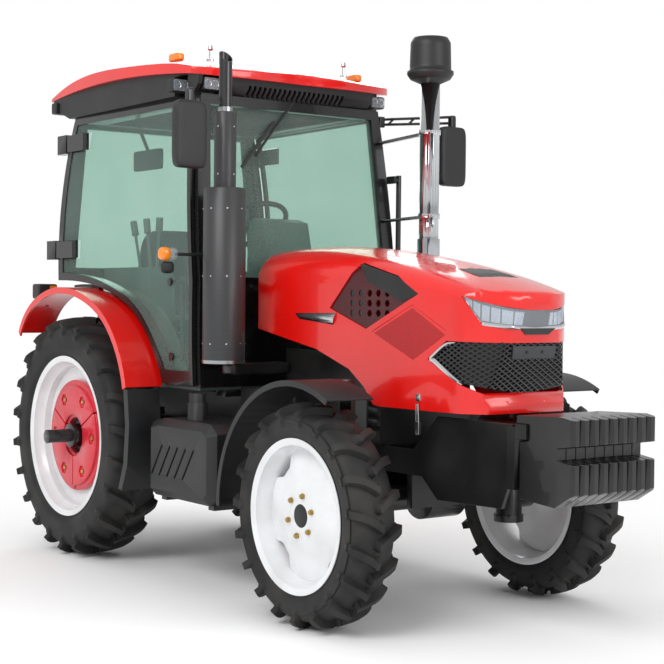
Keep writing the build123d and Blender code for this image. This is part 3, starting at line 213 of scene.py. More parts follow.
def wovenCloth(name, colour, thread):
    # seat cloth: two crossed waves at the thread's spacing, one over the other
    material, tree, out, place = newMaterial(name)
    warp, weft = (addNode(tree, "ShaderNodeTexWave", {"bands_direction": way}, Vector=place,
                          Scale=1 / thread / 2).outputs["Fac"] for way in "YX")
    over = addNode(tree, "ShaderNodeMath", {"operation": "MULTIPLY"}, i0=warp, i1=weft).outputs[0]
    # dark where the weave is low: painted shade in the hollows between threads
    tone = addNode(tree, "ShaderNodeValToRGB", stops=[(0.1, "#141618"), (0.8, colour)], Fac=over)
    relief = addNode(tree, "ShaderNodeBump", Height=over, Strength=0.3, Distance=0.001)
    shader = addNode(tree, "ShaderNodeBsdfPrincipled", Base_Color=tone.outputs["Color"], Roughness=0.85,
                     Normal=relief.outputs["Normal"], Sheen_Weight=0.3)
    tree.links.new(shader.outputs[0], out.inputs["Surface"])
    return material


# Woven polyester, thread spacing 3 mm so that the weave shows: soft, with a slight sheen, its hollows darkened as
# painted shade
seatCloth = wovenCloth("wovenPolyesterCloth", "#3A3E42", 0.003)
print("materials made")


def gridFaces(rows, columns, closeRows, closeColumns, first=0):
    # quads between neighbours of a rows x columns grid of points
    index = np.arange(rows * columns).reshape(rows, columns) + first
    if closeRows:
        index = np.vstack([index, index[:1]])
    if closeColumns:
        index = np.hstack([index, index[:, :1]])
    return np.stack([index[:-1, :-1], index[1:, :-1], index[1:, 1:], index[:-1, 1:]], -1).reshape(-1, 4)


def newPiece(name, mesh, material, body, replaces=(), smooth=35):
    # an object at the origin with one material, smooth up to an angle, riding on its body
    mesh.shade_smooth()
    mesh.set_sharp_from_angle(angle=radians(smooth))
    mesh.materials.clear()
    mesh.materials.append(material)
    piece = bpy.data.objects.new(name, mesh)
    bpy.context.scene.collection.objects.link(piece)
    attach(piece, body)
    if replaces:
        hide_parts(*replaces)
    return piece


def joined(name, material, body, turned=(), swept=(), both=(), **more):
    # one piece from grids of places: turned ones close round their rows, swept ones round their columns and
    # 'both' round either; doubles are merged and faces turned outward
    points, faces, count = [], [], 0
    for grids, closeRows, closeColumns in ((turned, True, False), (swept, False, True), (both, True, True)):
        for grid in grids:
            rows, columns = grid.shape[:2]
            faces.append(gridFaces(rows, columns, closeRows, closeColumns, count))
            points.append(grid.reshape(-1, 3))
            count += rows * columns
    mesh = bpy.data.meshes.new(name)
    mesh.from_pydata(np.vstack(points), [], np.vstack(faces))
    work = bmesh.new()
    work.from_mesh(mesh)
    bmesh.ops.remove_doubles(work, verts=work.verts, dist=1e-6)
    bmesh.ops.dissolve_degenerate(work, edges=work.edges, dist=1e-7)
    bmesh.ops.recalc_face_normals(work, faces=work.faces)
    work.to_mesh(mesh)
    work.free()
    return newPiece(name, mesh, material, body, **more)


def lathe(profile, centre, axis, segments=96):
    # profile of (radius, along) carried round an axis: centre + along * axis + radius * spoke
    axis = np.array(axis, float) / np.linalg.norm(axis)
    across = np.cross(axis, (1.0, 0, 0) if abs(axis[0]) < 0.9 else (0, 1.0, 0))
    across /= np.linalg.norm(across)
    third = np.cross(axis, across)
    turn = np.linspace(0, 2 * pi, segments, endpoint=False)[:, None, None]
    profile = np.asarray(profile, float)
    radius, along = profile[None, :, :1], profile[None, :, 1:]
    return np.asarray(centre) + axis * along + radius * (np.cos(turn) * across + np.sin(turn) * third)


def tube(path, section, upward=(0, 0, 1.0)):
    # closed section of (side, up) offsets carried along a path, square to it; the ends close to a point
    path = np.asarray(path, float)
    ahead = np.gradient(path, axis=0)
    ahead /= np.linalg.norm(ahead, axis=1)[:, None]
    side = np.cross(ahead, upward)
    side /= np.linalg.norm(side, axis=1)[:, None]
    lift = np.cross(side, ahead)
    section = np.asarray(section, float)
    grid = path[:, None] + side[:, None] * section[None, :, :1] + lift[:, None] * section[None, :, 1:]
    first, last = (np.repeat(place[None, None], len(section), 1) for place in (path[0], path[-1]))
    return np.concatenate([first, grid, last])


def ring(radius, count=12):
    # round section for a tube
    turn = np.linspace(0, 2 * pi, count, endpoint=False)
    return np.stack([radius * np.cos(turn), radius * np.sin(turn)], -1)


def rail(start, stop, radius, stations=6, sides=12, upward=(0, 0, 1.0)):
    # straight round bar between two places
    return tube(np.linspace(start, stop, stations), ring(radius, sides), upward)


def signedPower(value, power):
    return np.sign(value) * np.abs(value) ** power


def block(low, high, soften=0.12, count=7):
    # rounded block: a sphere's directions, each cosine and sine raised to a low power, scaled to the box
    low, high = np.asarray(low, float), np.asarray(high, float)
    u = np.linspace(-pi / 2, pi / 2, 4 * count)[:, None]
    v = np.linspace(-pi, pi, 8 * count, endpoint=False)[None, :]
    level = signedPower(np.cos(u), soften)
    unit = np.stack([level * signedPower(np.cos(v), soften), level * signedPower(np.sin(v), soften),
                     signedPower(np.sin(u), soften) + 0 * v], -1)
    return (low + high) / 2 + unit * (high - low) / 2


def bolt(centre, axis, radius, height, sides=6):
    # hexagon head with a chamfered crown, as a six-sided lathe
    head = [(0, 0), (radius, 0), (radius, height * 0.7), (radius * 0.82, height), (0, height)]
    return lathe(head, centre, axis, sides)


def boltCircle(centre, side, circle, outward, count, start, radius, height):
    # bolts evenly round a wheel's hub at a distance outward
    turns = np.arange(count) * 2 * pi / count + start
    return [bolt(centre + (circle * cos(t), side * outward, circle * sin(t)), (0, side, 0), radius, height)
            for t in turns]


def skinOf(node, material, bevel=0.0, smooth=32):
    # a smooth-shaded copy of a CAD node: doubles merged, with a small bevel on its sharp edges if asked
    source = frame["nodes"][node]
    mesh = bpy.data.meshes.new(node + "Skin")
    work = bmesh.new()
    work.from_mesh(source.data)
    bmesh.ops.remove_doubles(work, verts=work.verts, dist=2e-5)
    work.to_mesh(mesh)
    work.free()
    piece = newPiece(node + "Skin", mesh, material, source["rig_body"], (node,), smooth)
    if bevel:
        edge = piece.modifiers.new("softEdge", "BEVEL")
        edge.width = bevel
        edge.segments = 2
        edge.limit_method = "ANGLE"
        edge.angle_limit = radians(38)
        edge.harden_normals = True


# CAD nodes with their finish and the softening of their edges in metres
finishes = {
    "front_axle": (castBlack, 0.002), "engine_block": (castBlack, 0.004), "radiator": (chassisBlack, 0),
    "transmission": (castBlack, 0.006), "front_frame": (chassisBlack, 0.002),
    "front_weights": (castBlack, 0.004), "fuel_tank": (blackPlastic, 0.003),
    "side_steps": (chassisBlack, 0.002), "fender_skirts": (blackPlastic, 0.002),
    "rear_fenders": (redEnamel, 0.002), "cab_frame": (blackEnamel, 0.004), "cab_floor": (greyPlastic, 0),
    "roof_cap": (redEnamel, 0.010), "roof_soffit": (blackPlastic, 0.003), "intake_pipe": (chromePlate, 0),
    "precleaner": (blackPlastic, 0), "console": (greyPlastic, 0.004), "rear_hitch": (chassisBlack, 0.002),
    "hood": (redEnamel, 0), "steering_wheel": (blackPlastic, 0.002), "lift_arms": (castBlack, 0.003),
    "lift_rods": (brightSteel, 0), "lower_links": (chassisBlack, 0.002), "side_panels": (panelSheet, 0),
}
for sideName in ("left", "right"):
    finishes.update({
        "knuckle_" + sideName: (castBlack, 0.002), "wheel_weight_" + sideName: (castRedEnamel, 0.004),
        "axle_bar_" + sideName: (blackEnamel, 0.002), "front_fender_" + sideName: (blackPlastic, 0.002),
        "door_" + sideName: (blackEnamel, 0.001)})
for nodeName, (finish, softEdge) in finishes.items():
    skinOf(nodeName, finish, softEdge)
for nodeName in ("fixed_glass", "door_glass_left", "door_glass_right", "rear_window"):
    for place in frame["nodes"][nodeName].material_slots:
        place.material = tintedGlass
print("CAD nodes finished")

# Wheels, in metres: radii of lug tips, carcass, rim flange and bead seat; half widths; lugs; place
rearWheel = {"tip": 0.645, "crown": 0.608, "flange": 0.4315, "seat": 0.406, "halfRim": 0.132,
             "halfWidth": 0.146, "lugs": 22, "lug": 0.034, "x": 0.0, "track": 0.635, "z": 0.645}
frontWheel = {"tip": 0.480, "crown": 0.449, "flange": 0.330, "seat": 0.3048, "halfRim": 0.105,
              "halfWidth": 0.113, "lugs": 19, "lug": 0.030, "x": 2.180, "track": 0.655, "z": 0.480}


def smoothLine(points, count):
    # even samples of a Catmull-Rom curve through the points
    points = np.asarray(points, float)
    ends = np.vstack([2 * points[0] - points[1], points, 2 * points[-1] - points[-2]])
    t = np.linspace(0, len(points) - 1 - 1e-9, count)
    i = t.astype(int)
    f = (t - i)[:, None]
    a, b, c, d = ends[i], ends[i + 1], ends[i + 2], ends[i + 3]
    cubic = (2 * a - 5 * b + 4 * c - d) * f ** 2 + (3 * b - a - 3 * c + d) * f ** 3
    return 0.5 * (2 * b + (c - a) * f + cubic)


def softStep(value, low, high):
    # 0 below low, 1 above high, and 3t^2 - 2t^3 between them
    t = np.clip((value - low) / (high - low), 0, 1)
    return t * t * (3 - 2 * t)


def tyreSection(w):
    # closed cross-section of (radius, across): crown, shoulder, sidewall and bead, then the inner wall
    crown, flange, seat, wide, rim = w["crown"], w["flange"], w["seat"], w["halfWidth"], w["halfRim"]
    half = [(crown, 0.0), (crown - 0.002, wide * 0.35), (crown - 0.009, wide * 0.68), (crown - 0.026, wide * 0.90),
            (crown - 0.055, wide * 0.985), (flange + 0.078, wide * 0.995), (flange + 0.034, wide - 0.004),
            (flange + 0.010, rim - 0.004), (seat + 0.006, rim - 0.012), (seat + 0.002, rim - 0.034)]
    outer = smoothLine(half, 60)
    inner = np.array([(flange + 0.060, wide - 0.018), (crown - 0.024, wide * 0.6)])
    return np.vstack([outer[::-1] * (1, -1), outer[1:], inner, inner[::-1] * (1, -1)]), 2 * len(outer) - 1


def makeTyre(w, name, side, body, node):
    # tyre: the section carried round the wheel; lugs rise along the section's normal where the distance
    # round, sheared toward the shoulders, falls within a lug of either half
    section, outsideCount = tyreSection(w)
    radius, across = section[:, 0], section[:, 1]
    normal = np.stack([np.gradient(across), -np.gradient(radius)], -1)
    normal /= np.linalg.norm(normal, axis=1)[:, None] + 1e-12
    reach = np.abs(across) / w["halfWidth"]
    lugHeight = w["tip"] - w["crown"]
    height = (lugHeight + 0.004 * reach ** 2) * (np.arange(len(section)) < outsideCount)
    height *= softStep(radius, w["crown"] - 0.075, w["crown"] - 0.028)
    height = np.minimum(height, np.where(radius > w["crown"] - 0.03, 1, 0.35) * lugHeight)
    pitch = 2 * pi * w["crown"] / w["lugs"]
    width, flankWidth = w["lug"] * 0.52, 0.007
    edges = np.array([-width - flankWidth, -width, 0, width, width + flankWidth])
    stops = np.concatenate([edges % pitch, (edges + pitch / 2) % pitch, [pitch * 0.25, pitch * 0.75]])
    stops = np.sort(stops)
    stops = stops[np.concatenate([[True], np.diff(stops) > 0.002])]
    distance = (np.arange(w["lugs"])[:, None] * pitch + stops[None, :]).reshape(-1)
    shear = -0.092 * w["crown"] / 0.608 * np.clip(reach, 0, 1.0) ** 0.85  # the bars' slant
    offset = lambda shift: (distance[:, None] - shift + pitch / 2) % pitch - pitch / 2
    lugOf = lambda shift: 1 - softStep(np.abs(offset(shift)), width, width + flankWidth)
    leftHalf, rightHalf = (softStep(way * across, -0.016, -0.008)[None, :] for way in (1, -1))
    rise = np.maximum(lugOf(0.0) * leftHalf, lugOf(pitch / 2) * rightHalf) * height[None, :]
    angle = (distance[:, None] + shear[None, :]) / w["crown"]
    r = radius[None, :] + normal[None, :, 0] * rise
    a = (across[None, :] + normal[None, :, 1] * rise) * side
    # at angle 0 the point is ahead, and the distance round grows downward there
    points = np.stack([w["x"] + rearAxleX + r * np.cos(angle), side * w["track"] + a,
                       w["z"] - r * np.sin(angle)], -1)
    joined(name, tyreRubber, body, both=[points], smooth=40, replaces=(node,))


def rimOutline(w, drop, wall):
    # the rim's outer face from flange to flange over the drop centre, and its inner face back to the middle
    h, f, s = w["halfRim"], w["flange"], w["seat"]
    outer = [(f, h), (f + 0.001, h - 0.003), (f - 0.004, h - 0.007), (s + 0.004, h - 0.012),
             (s - 0.001, h - 0.036), (s - drop, h - 0.056)]
    back = [(s - drop, -h + 0.056), (s - 0.001, -h + 0.036), (s + 0.004, -h + 0.012), (f - 0.004, -h + 0.007),
            (f, -h), (f - 0.009, -h + 0.001), (s - 0.004, -h + 0.008), (s - 0.008, -h + 0.036),
            (s - wall, -h + 0.060)]
    front = [(s - wall, h - 0.060), (s - 0.008, h - 0.036), (s - 0.004, h - 0.008), (f - 0.009, h - 0.001)]
    return outer + back, front


def makeRearRim(w, name, side, centre, body, node):
    # rim and disc turned from one closed outline of (radius, outward) points
    s = w["seat"]
    outerFace, frontFace = rimOutline(w, 0.022, 0.029)
    disc = [(s - 0.029, 0.018), (0.300, 0.020), (0.198, 0.008), (0.150, -0.008), (0.066, -0.008),
            (0.066, 0.004), (0.146, 0.004), (0.192, 0.020), (0.298, 0.033), (s - 0.029, 0.036)]
    outline = outerFace + disc + frontFace
    joined(name, whiteEnamel, body, [lathe(outline + outline[:1], centre, (0, side, 0), 128)], smooth=38,
           replaces=(node,))


def makeFrontRim(w, name, side, centre, body, node):
    # rim and dished disc: beyond 205 mm the disc draws in four times round, so openings show at the rim
    s = w["seat"]
    outerFace, frontFace = rimOutline(w, 0.018, 0.025)
    barrel = outerFace + frontFace
    disc = [(0.050, 0.068), (0.050, 0.056), (0.118, 0.056), (0.150, 0.044), (0.205, 0.030), (s - 0.024, 0.018),
            (s - 0.024, 0.026), (0.208, 0.040), (0.156, 0.054), (0.122, 0.068)]
    grid = lathe(disc + disc[:1], (0, 0, 0), (0, side, 0), 192)
    turn = np.arctan2(grid[..., 2], grid[..., 0])
    radius = np.hypot(grid[..., 0], grid[..., 2])
    pull = 1 - 0.16 * softStep(np.cos(4 * turn + pi), 0.35, 0.95) * softStep(radius, 0.215, s - 0.03)
    grid = grid * np.stack([pull, np.ones_like(pull), pull], -1) + centre
    joined(name, whiteEnamel, body, [lathe(barrel + barrel[:1], centre, (0, side, 0), 128), grid], smooth=38,
           replaces=(node,))


for sideName, side in (("left", 1), ("right", -1)):
    rearBody, frontBody = f"rear_wheel_{sideName}", f"front_wheel_{sideName}"
    rearHub, frontHub = (np.array([w["x"] + rearAxleX, side * w["track"], w["z"]]) for w in (rearWheel, frontWheel))
    makeTyre(rearWheel, f"rearTyre_{sideName}", side, rearBody, f"rear_tyre_{sideName}")
    makeTyre(frontWheel, f"frontTyre_{sideName}", side, frontBody, f"front_tyre_{sideName}")
    makeRearRim(rearWheel, f"rearRim_{sideName}", side, rearHub, rearBody, f"rear_rim_{sideName}")
    makeFrontRim(frontWheel, f"frontRim_{sideName}", side, frontHub, frontBody, f"front_rim_{sideName}")
    # bolts of the cast segments and of the rim, the front hub's nuts and its cap
    joined(f"weightBolts_{sideName}", zincPlate, rearBody,
           boltCircle(rearHub, side, 0.215, 0.068, 6, 0.0, 0.013, 0.012)
           + boltCircle(rearHub, side, 0.245, 0.036, 8, 0.2, 0.010, 0.009), smooth=20)
    joined(f"hubNuts_{sideName}", zincPlate, frontBody,
           boltCircle(frontHub, side, 0.088, 0.064, 6, 0.3, 0.012, 0.020), smooth=20)
    capProfile = [(0, 0.074), (0.040, 0.072), (0.050, 0.066), (0.052, 0.050), (0, 0.050)]
    joined(f"hubCap_{sideName}", blackPlastic, frontBody, [lathe(capProfile, frontHub, (0, side, 0), 48)])
print("wheels made")

# The hood's nose in the side view (height, how far ahead) and its half width in the plan (ahead, half width)
noseStops = np.array([(930, 2785), (966, 2792), (1000, 2766), (1060, 2792), (1180, 2826), (1290, 2842),
                      (1375, 2860), (1440, 2856)], float)
widthStops = np.array([(1250, 336), (1500, 334), (1850, 328), (2200, 318), (2560, 300), (2880, 270)], float)


def hoodOutline(level):
    # the hood seen from above, from the middle of the nose round to the cab: a superparabola cut off at
    # 'level' and run on along the nearly straight flank; gives distance round, place and outward normal
    acrossY = np.linspace(0, 300, 400)
    noseX = np.minimum(2862 - 92 * (acrossY / 228) ** 2.83, level)
    flankX = np.linspace(2795, 1250, 600)
    flankY = np.interp(flankX, widthStops[:, 0], widthStops[:, 1])
    keep = acrossY <= np.interp(noseX, widthStops[:, 0], widthStops[:, 1])
    beyond = flankX < noseX[keep][-1] - 1
    lineX = np.concatenate([noseX[keep], flankX[beyond]])
    lineY = np.concatenate([acrossY[keep], flankY[beyond]])
    run = np.concatenate([[0], np.cumsum(np.hypot(np.diff(lineX), np.diff(lineY)))])
    evenRun = np.linspace(0, run[-1], 900)
    evenX, evenY = np.interp(evenRun, run, lineX), np.interp(evenRun, run, lineY)
    average = np.ones(25) / 25
    tangentX, tangentY = (np.convolve(np.pad(np.gradient(line), 12, mode="edge"), average, "valid")
                          for line in (evenX, evenY))
    size = np.hypot(tangentX, tangentY)
    normalY = -tangentX / size
    normalY[0] = 0
    return evenRun, evenX, evenY, tangentY / size, normalY


def reachOf(x, z):
    # distance round the nose at which the outline at this height comes back to x
    run, lineX = hoodOutline(np.interp(z, noseStops[:, 0], noseStops[:, 1]))[:2]
    return float(np.interp(-x, -lineX, run))


def hoodSkin(d, z, outward=0.0):
    # place on the nose and flanks from the distance d round the nose (mm, positive to the left) and the
    # height, lifted outward along the plan's normal
    d, z, lift = (np.array(value, float) for value in np.broadcast_arrays(d, z, outward))
    shape = d.shape
    d, z, lift = d.reshape(-1), z.reshape(-1), lift.reshape(-1)
    levels = np.round(np.interp(z, noseStops[:, 0], noseStops[:, 1]), 1)
    out = np.zeros((len(d), 3))
    for level in np.unique(levels):
        chosen = levels == level
        run, lineX, lineY, normalX, normalY = hoodOutline(level)
        reach, sign = np.abs(d[chosen]), np.where(d[chosen] < 0, -1, 1)
        x = np.interp(reach, run, lineX) + lift[chosen] * np.interp(reach, run, normalX)
        y = np.interp(reach, run, lineY) + lift[chosen] * np.interp(reach, run, normalY)
        out[chosen] = at(x, y * sign, z[chosen])
    return out.reshape(shape + (3,))


def flankSkin(side):
    # place on one flank from the side view's x and height, lifted outward
    return lambda x, z, lift: at(x, side * (np.interp(x, widthStops[:, 0], widthStops[:, 1]) + lift), z)


def crownSkin(x, y, lift):
    # place on the hood's top: the centre line's height less the arc's fall of 22 mm toward the shoulders
    stations = [1250, 1500, 1850, 2200, 2560, 2880]
    top = np.interp(x, stations, [1642, 1652, 1632, 1584, 1512, 1418])
    reach = np.interp(x, stations, [216, 224, 233, 238, 234, 218])
    bend = (reach ** 2 + 22 ** 2) / 44
    return at(x, y, top - (bend - np.sqrt(np.maximum(bend ** 2 - y ** 2, 1))) + lift)


def patch(corners, rows, columns):
    # grid between four corners: lower-left, lower-right, upper-right, upper-left
    u = np.linspace(0, 1, columns)[None, :, None]
    v = np.linspace(0, 1, rows)[:, None, None]
    a, b, c, e = (np.array(corner, float) for corner in corners)
    return (1 - v) * ((1 - u) * a + u * b) + v * ((1 - u) * e + u * c)


def shell(flat, inside, outside, skin=hoodSkin):
    # closed slab over a grid of two coordinates, between two lifts from a skin; each end row is folded flat
    low = skin(flat[..., 0], flat[..., 1], inside)
    high = skin(flat[..., 0], flat[..., 1], outside)
    middle = (low + high) / 2
    # the fold is the middle line there and back, in the order of the columns
    first, last = (np.concatenate([edge, edge[::-1]])[None] for edge in (middle[0], middle[-1]))
    return np.concatenate([first, np.concatenate([low, high[:, ::-1]], 1), last])


lampTip = reachOf(2692, 1410)  # the lamp band's tip on each flank


def lampLine(d, share):
    # height in the lamp band at a distance round the nose: share 0 is its lower edge and 1 its upper edge
    run, lineX = hoodOutline(2856)[:2]
    x = np.interp(np.abs(d), run, lineX)
    high = 1416 - (x - 2690) * 71 / 210
    low = np.where(x > 2760, 1300 - (x - 2760) * 24 / 140, 1416 - (x - 2690) * 116 / 70)
    return low + (high - low) * share


def lampGrid(start, stop, lowShare, highShare, columns, rows=6):
    d = np.linspace(start, stop, columns)[None, :] + np.zeros((rows, 1))
    return np.stack([d, lampLine(d, np.linspace(lowShare, highShare, rows)[:, None])], -1)


# headlamps: housing, six reflector bowls a side with a bright rib each, cover, lower lip and blank badge
whole = lampGrid(-lampTip, lampTip, -0.04, 1.04, 121)
joined("lampHousing", blackPlastic, "hood", swept=[shell(whole, -36, -28)], replaces=("headlamps",))
cover = lampGrid(-lampTip, lampTip, 0.0, 1.0, 121)
joined("lampCover", lampLens, "hood", swept=[shell(cover, -5, -2)])
cells = []
cellStops = np.array([70, 128, 186, 232, 272, 308, 344])
for sign in (-1, 1):
    for start, stop in zip(cellStops[:-1] + 4, cellStops[1:] - 3):
        cells.append(shell(lampGrid(sign * start, sign * stop, 0.16, 0.86, 12), -27, -13))
        middle = np.full(8, sign * (start + stop) / 2)
        ribLine = hoodSkin(middle, lampLine(middle, np.linspace(0.2, 0.82, 8)), -11)
        cells.append(tube(ribLine, ring(0.0035, 8), (0, 1, 0)))
joined("lampReflectors", reflector, "hood", swept=cells)
lipTip = reachOf(2762, 1300)
lipLine = np.linspace(-lipTip, lipTip, 101)
lipZ = lampLine(lipLine, 0.03) - 5 * np.exp(-(lipLine / 60) ** 2)
joined("lampLip", chromePlate, "hood",
       swept=[tube(hoodSkin(lipLine, lipZ, -3), ring(1, 10) * (0.006, 0.008))])
blank = patch([(-64, 1258), (64, 1258), (100, 1284), (-100, 1284)], 6, 24)
joined("badgeBlank", blackEnamel, "hood", swept=[shell(blank, -2, 5)])

# grille: a lattice of crossed bars inside the opening's outline, backed by a dark shell
openingHalf = [(reachOf(x, z), z) for x, z in ((2792, 1006), (2660, 1063), (2504, 1148), (2612, 1226))]
opening = np.array([(-d, z) for d, z in openingHalf[::-1]] + openingHalf, float)
tipReach = openingHalf[2][0]


def clipLine(start, stop):
    # stretch of a line inside the opening: it crosses each edge where the cross products say so
    start, stop = np.array(start, float), np.array(stop, float)
    edgeA, edgeB = opening, np.roll(opening, -1, 0)
    run, edge, gap = stop - start, edgeB - edgeA, edgeA - start
    cross = run[0] * edge[:, 1] - run[1] * edge[:, 0]
    cross = np.where(abs(cross) < 1e-9, 1e-9, cross)
    along = (gap[:, 0] * edge[:, 1] - gap[:, 1] * edge[:, 0]) / cross
    onEdge = (gap[:, 0] * run[1] - gap[:, 1] * run[0]) / cross
    hits = np.sort(along[(onEdge >= 0) & (onEdge <= 1)])
    if len(hits) < 2 or hits[-1] - hits[0] < 0.01:
        return None
    return start + run * hits[0], start + run * hits[-1]


bars = []
barSection = np.array([(-1, -1), (1, -1), (1, 1), (-1, 1)]) * (0.0018, 0.003)
for slope in (0.55, -0.55):
    for offset in np.arange(-640, 641, 21):
        ends = clipLine((-460, 1116 + offset - 460 * slope), (460, 1116 + offset + 460 * slope))
        if ends:
            line = np.linspace(ends[0], ends[1], max(4, int(np.hypot(*(ends[1] - ends[0])) / 16)))
            bars.append(tube(hoodSkin(line[:, 0], line[:, 1], -9 if slope > 0 else -7), barSection))
joined("grilleLattice", blackEnamel, "hood", swept=bars, smooth=25, replaces=("grille",))
back = patch([(-tipReach, 1100), (tipReach, 1100), (tipReach, 1150), (-tipReach, 1150)], 7, 121)
spread = np.abs(back[..., 0])
backHigh = np.interp(spread, [0, openingHalf[3][0], tipReach], [1230, 1230, 1150])
backLow = np.interp(spread, [0, openingHalf[0][0], openingHalf[1][0], tipReach], [1000, 1000, 1060, 1146])
back[..., 1] = backLow + (backHigh - backLow) * np.linspace(0, 1, 7)[:, None]
joined("grilleBack", chassisBlack, "hood", swept=[shell(back, -22, -17)])

# bright boomerang: along the opening's upper edge to its side point, and back under it, widest at the bend
trims = []
corner = [(openingHalf[3][0] - 50, 1222), (openingHalf[3][0] + 4, 1214), (tipReach - 34, 1170),
          (tipReach - 14, 1149), (tipReach - 40, 1136), (openingHalf[1][0] + 30, 1082),
          (openingHalf[1][0] - 40, 1050)]
bend = smoothLine(corner, 48)
half = 4 + 9 * np.sin(pi * np.linspace(0, 1, 48)[:, None]) ** 0.8
direction = np.gradient(bend, axis=0)
direction /= np.linalg.norm(direction, axis=1)[:, None]
sideways = np.stack([-direction[:, 1], direction[:, 0]], -1)
for sign in (-1, 1):
    strip = np.stack([bend + sideways * half * share for share in (-1, -0.4, 0.4, 1)])
    strip[..., 0] *= sign
    trims.append(shell(strip, -8, np.array([-3.0, 2.0, 2.0, -3.0])[:, None]))
joined("grilleTrim", chromePlate, "hood", swept=trims, smooth=30)

# number plate's blank with its two holes, two small lamps in the grille and the recess round them
plate = patch([(-118, 1158), (118, 1158), (122, 1210), (-122, 1210)], 5, 20)
joined("plateBlank", plateGrey, "hood", swept=[shell(plate, -6, 0)])
holeProfile = [(0, -0.001), (0.006, -0.001), (0.006, 0.0015), (0, 0.0015)]
joined("plateHoles", chassisBlack, "hood", [lathe(holeProfile, at(2829, y, 1185), (1, 0, 0), 20) for y in (44, -44)])
fogProfile = [(0, 0), (0.028, 0), (0.030, 0.008), (0.024, 0.014), (0, 0.018)]
joined("grilleLamps", lampLens, "hood",
       [lathe(fogProfile, at(2752, y, 1101), (1, 0, 0.1), 32) for y in (123, -123)])
recess = patch([(-150, 1072), (150, 1072), (150, 1140), (-150, 1140)], 5, 24)
joined("lampRecess", blackPlastic, "hood", swept=[shell(recess, -30, -24)])

# vent on the crown; on each flank a bright dart, the lower red panel, the window's dark patch and seams
vent = patch([(2345, -98), (2345, 98), (2690, 114), (2690, -114)], 20, 24)
joined("hoodTopVent", blackPlastic, "hood", swept=[shell(vent, -3, 2.5, crownSkin)])
darts, redSheets, blackSheets, seams, bumps, keepers, levers = [], [], [], [], [], [], []
patchX = np.linspace(2046, 2432, 30)[None, :] + np.zeros((8, 1))
patchLow = np.interp(patchX, [2046, 2100, 2325, 2432], [1552, 1478, 1388, 1420])
patchHigh = np.interp(patchX, [2046, 2300, 2432], [1556, 1497, 1425])
windowPatch = np.stack([patchX, patchLow + (patchHigh - patchLow) * np.linspace(0, 1, 8)[:, None]], -1)
bumpProfile = [(0, -0.004), (0.017, -0.004), (0.015, 0.002), (0.008, 0.006), (0, 0.007)]
for side in (1, -1):
    skin = flankSkin(side)
    dart = patch([(1600, 1303), (1862, 1281), (1884, 1334), (1566, 1330)], 7, 24)
    dome = 9 * np.sin(np.linspace(0, pi, 7))[:, None] * np.linspace(0.3, 1, 24)[None, :]
    darts.append(shell(dart, -1, 3 + dome, skin))
    redSheet = patch([(2154, 1250), (2412, 1141), (2604, 1252), (2404, 1362)], 12, 12)
    redSheets.append(shell(redSheet, -1, 1.5, skin))
    blackSheets.append(shell(windowPatch, -7.5, -4, skin))
    for stop in ((2612, 1270), (2140, 1256)):
        seam = np.linspace((2402, 1376), stop, 12)
        seams.append(tube(skin(seam[:, 0], seam[:, 1], 0.5), ring(0.0018, 6)))
    bumps.append(lathe(bumpProfile, at(2781, side * 109, 966), (1, 0, 0), 24))
    # toggle latch: a keeper on the hood, and the loop and lever on the frame below it
    keepers.append(block(at(2438, side * 309 - 5, 968), at(2466, side * 309 + 5, 1000), 0.2))
    for dx in (-9, 9):
        loopTop = at(2452 + dx * 0.6, side * 318, 958)
        levers.append(rail(at(2452 + dx, side * 316, 872), loopTop, 0.0032, 6, 8, (0, 1, 0)))
    levers.append(block(at(2440, side * 312 - 8, 826), at(2464, side * 312 + 8, 884), 0.25))
joined("hoodDarts", chromePlate, "hood", swept=darts)
joined("lowerSidePanels", redPanelSheet, "hood", swept=redSheets)
joined("upperSidePanels", blackPlastic, "hood", swept=blackSheets)
joined("panelSeams", castRedEnamel, "hood", swept=seams)
joined("bumperBumps", redEnamel, "hood", bumps)
joined("latchKeepers", chromePlate, "hood", swept=keepers)
joined("latchLevers", brightSteel, "tractor", swept=levers)
print("hood dressed")

# Work lamps under the roof: (ahead, left, 1 facing forward or -1 back)
workLamps = {"places": [(1050, -505, 1), (900, -590, 1), (1030, 540, 1), (-500, -555, -1), (-500, 555, -1)],
             "frontZ": 2446, "rearZ": 2474}
bodies, lenses, bowls = [], [], []
bowlProfile = [(0, -0.010), (0.018, -0.002), (0.020, 0.0), (0.020, -0.014), (0, -0.014)]
for x, y, front in workLamps["places"]:
    centre = at(x, y, workLamps["frontZ"] if front > 0 else workLamps["rearZ"])
    bodies.append(block(centre - (0.032, 0.048, 0.033), centre + (0.026, 0.048, 0.033), 0.25))
    face = centre + (front * 0.029, 0, 0)
    lenses.append(block(face - (0.003, 0.043, 0.028), face + (0.003, 0.043, 0.028), 0.2))
    bowls += [lathe(bowlProfile, face + (0, dy, 0), (front, 0, 0), 24) for dy in (-0.021, 0.021)]
joined("workLampBodies", blackPlastic, "tractor", swept=bodies, replaces=("work_lamps",))
joined("workLampLenses", lampLens, "tractor", swept=lenses)
joined("workLampReflectors", reflector, "tractor", bowls)

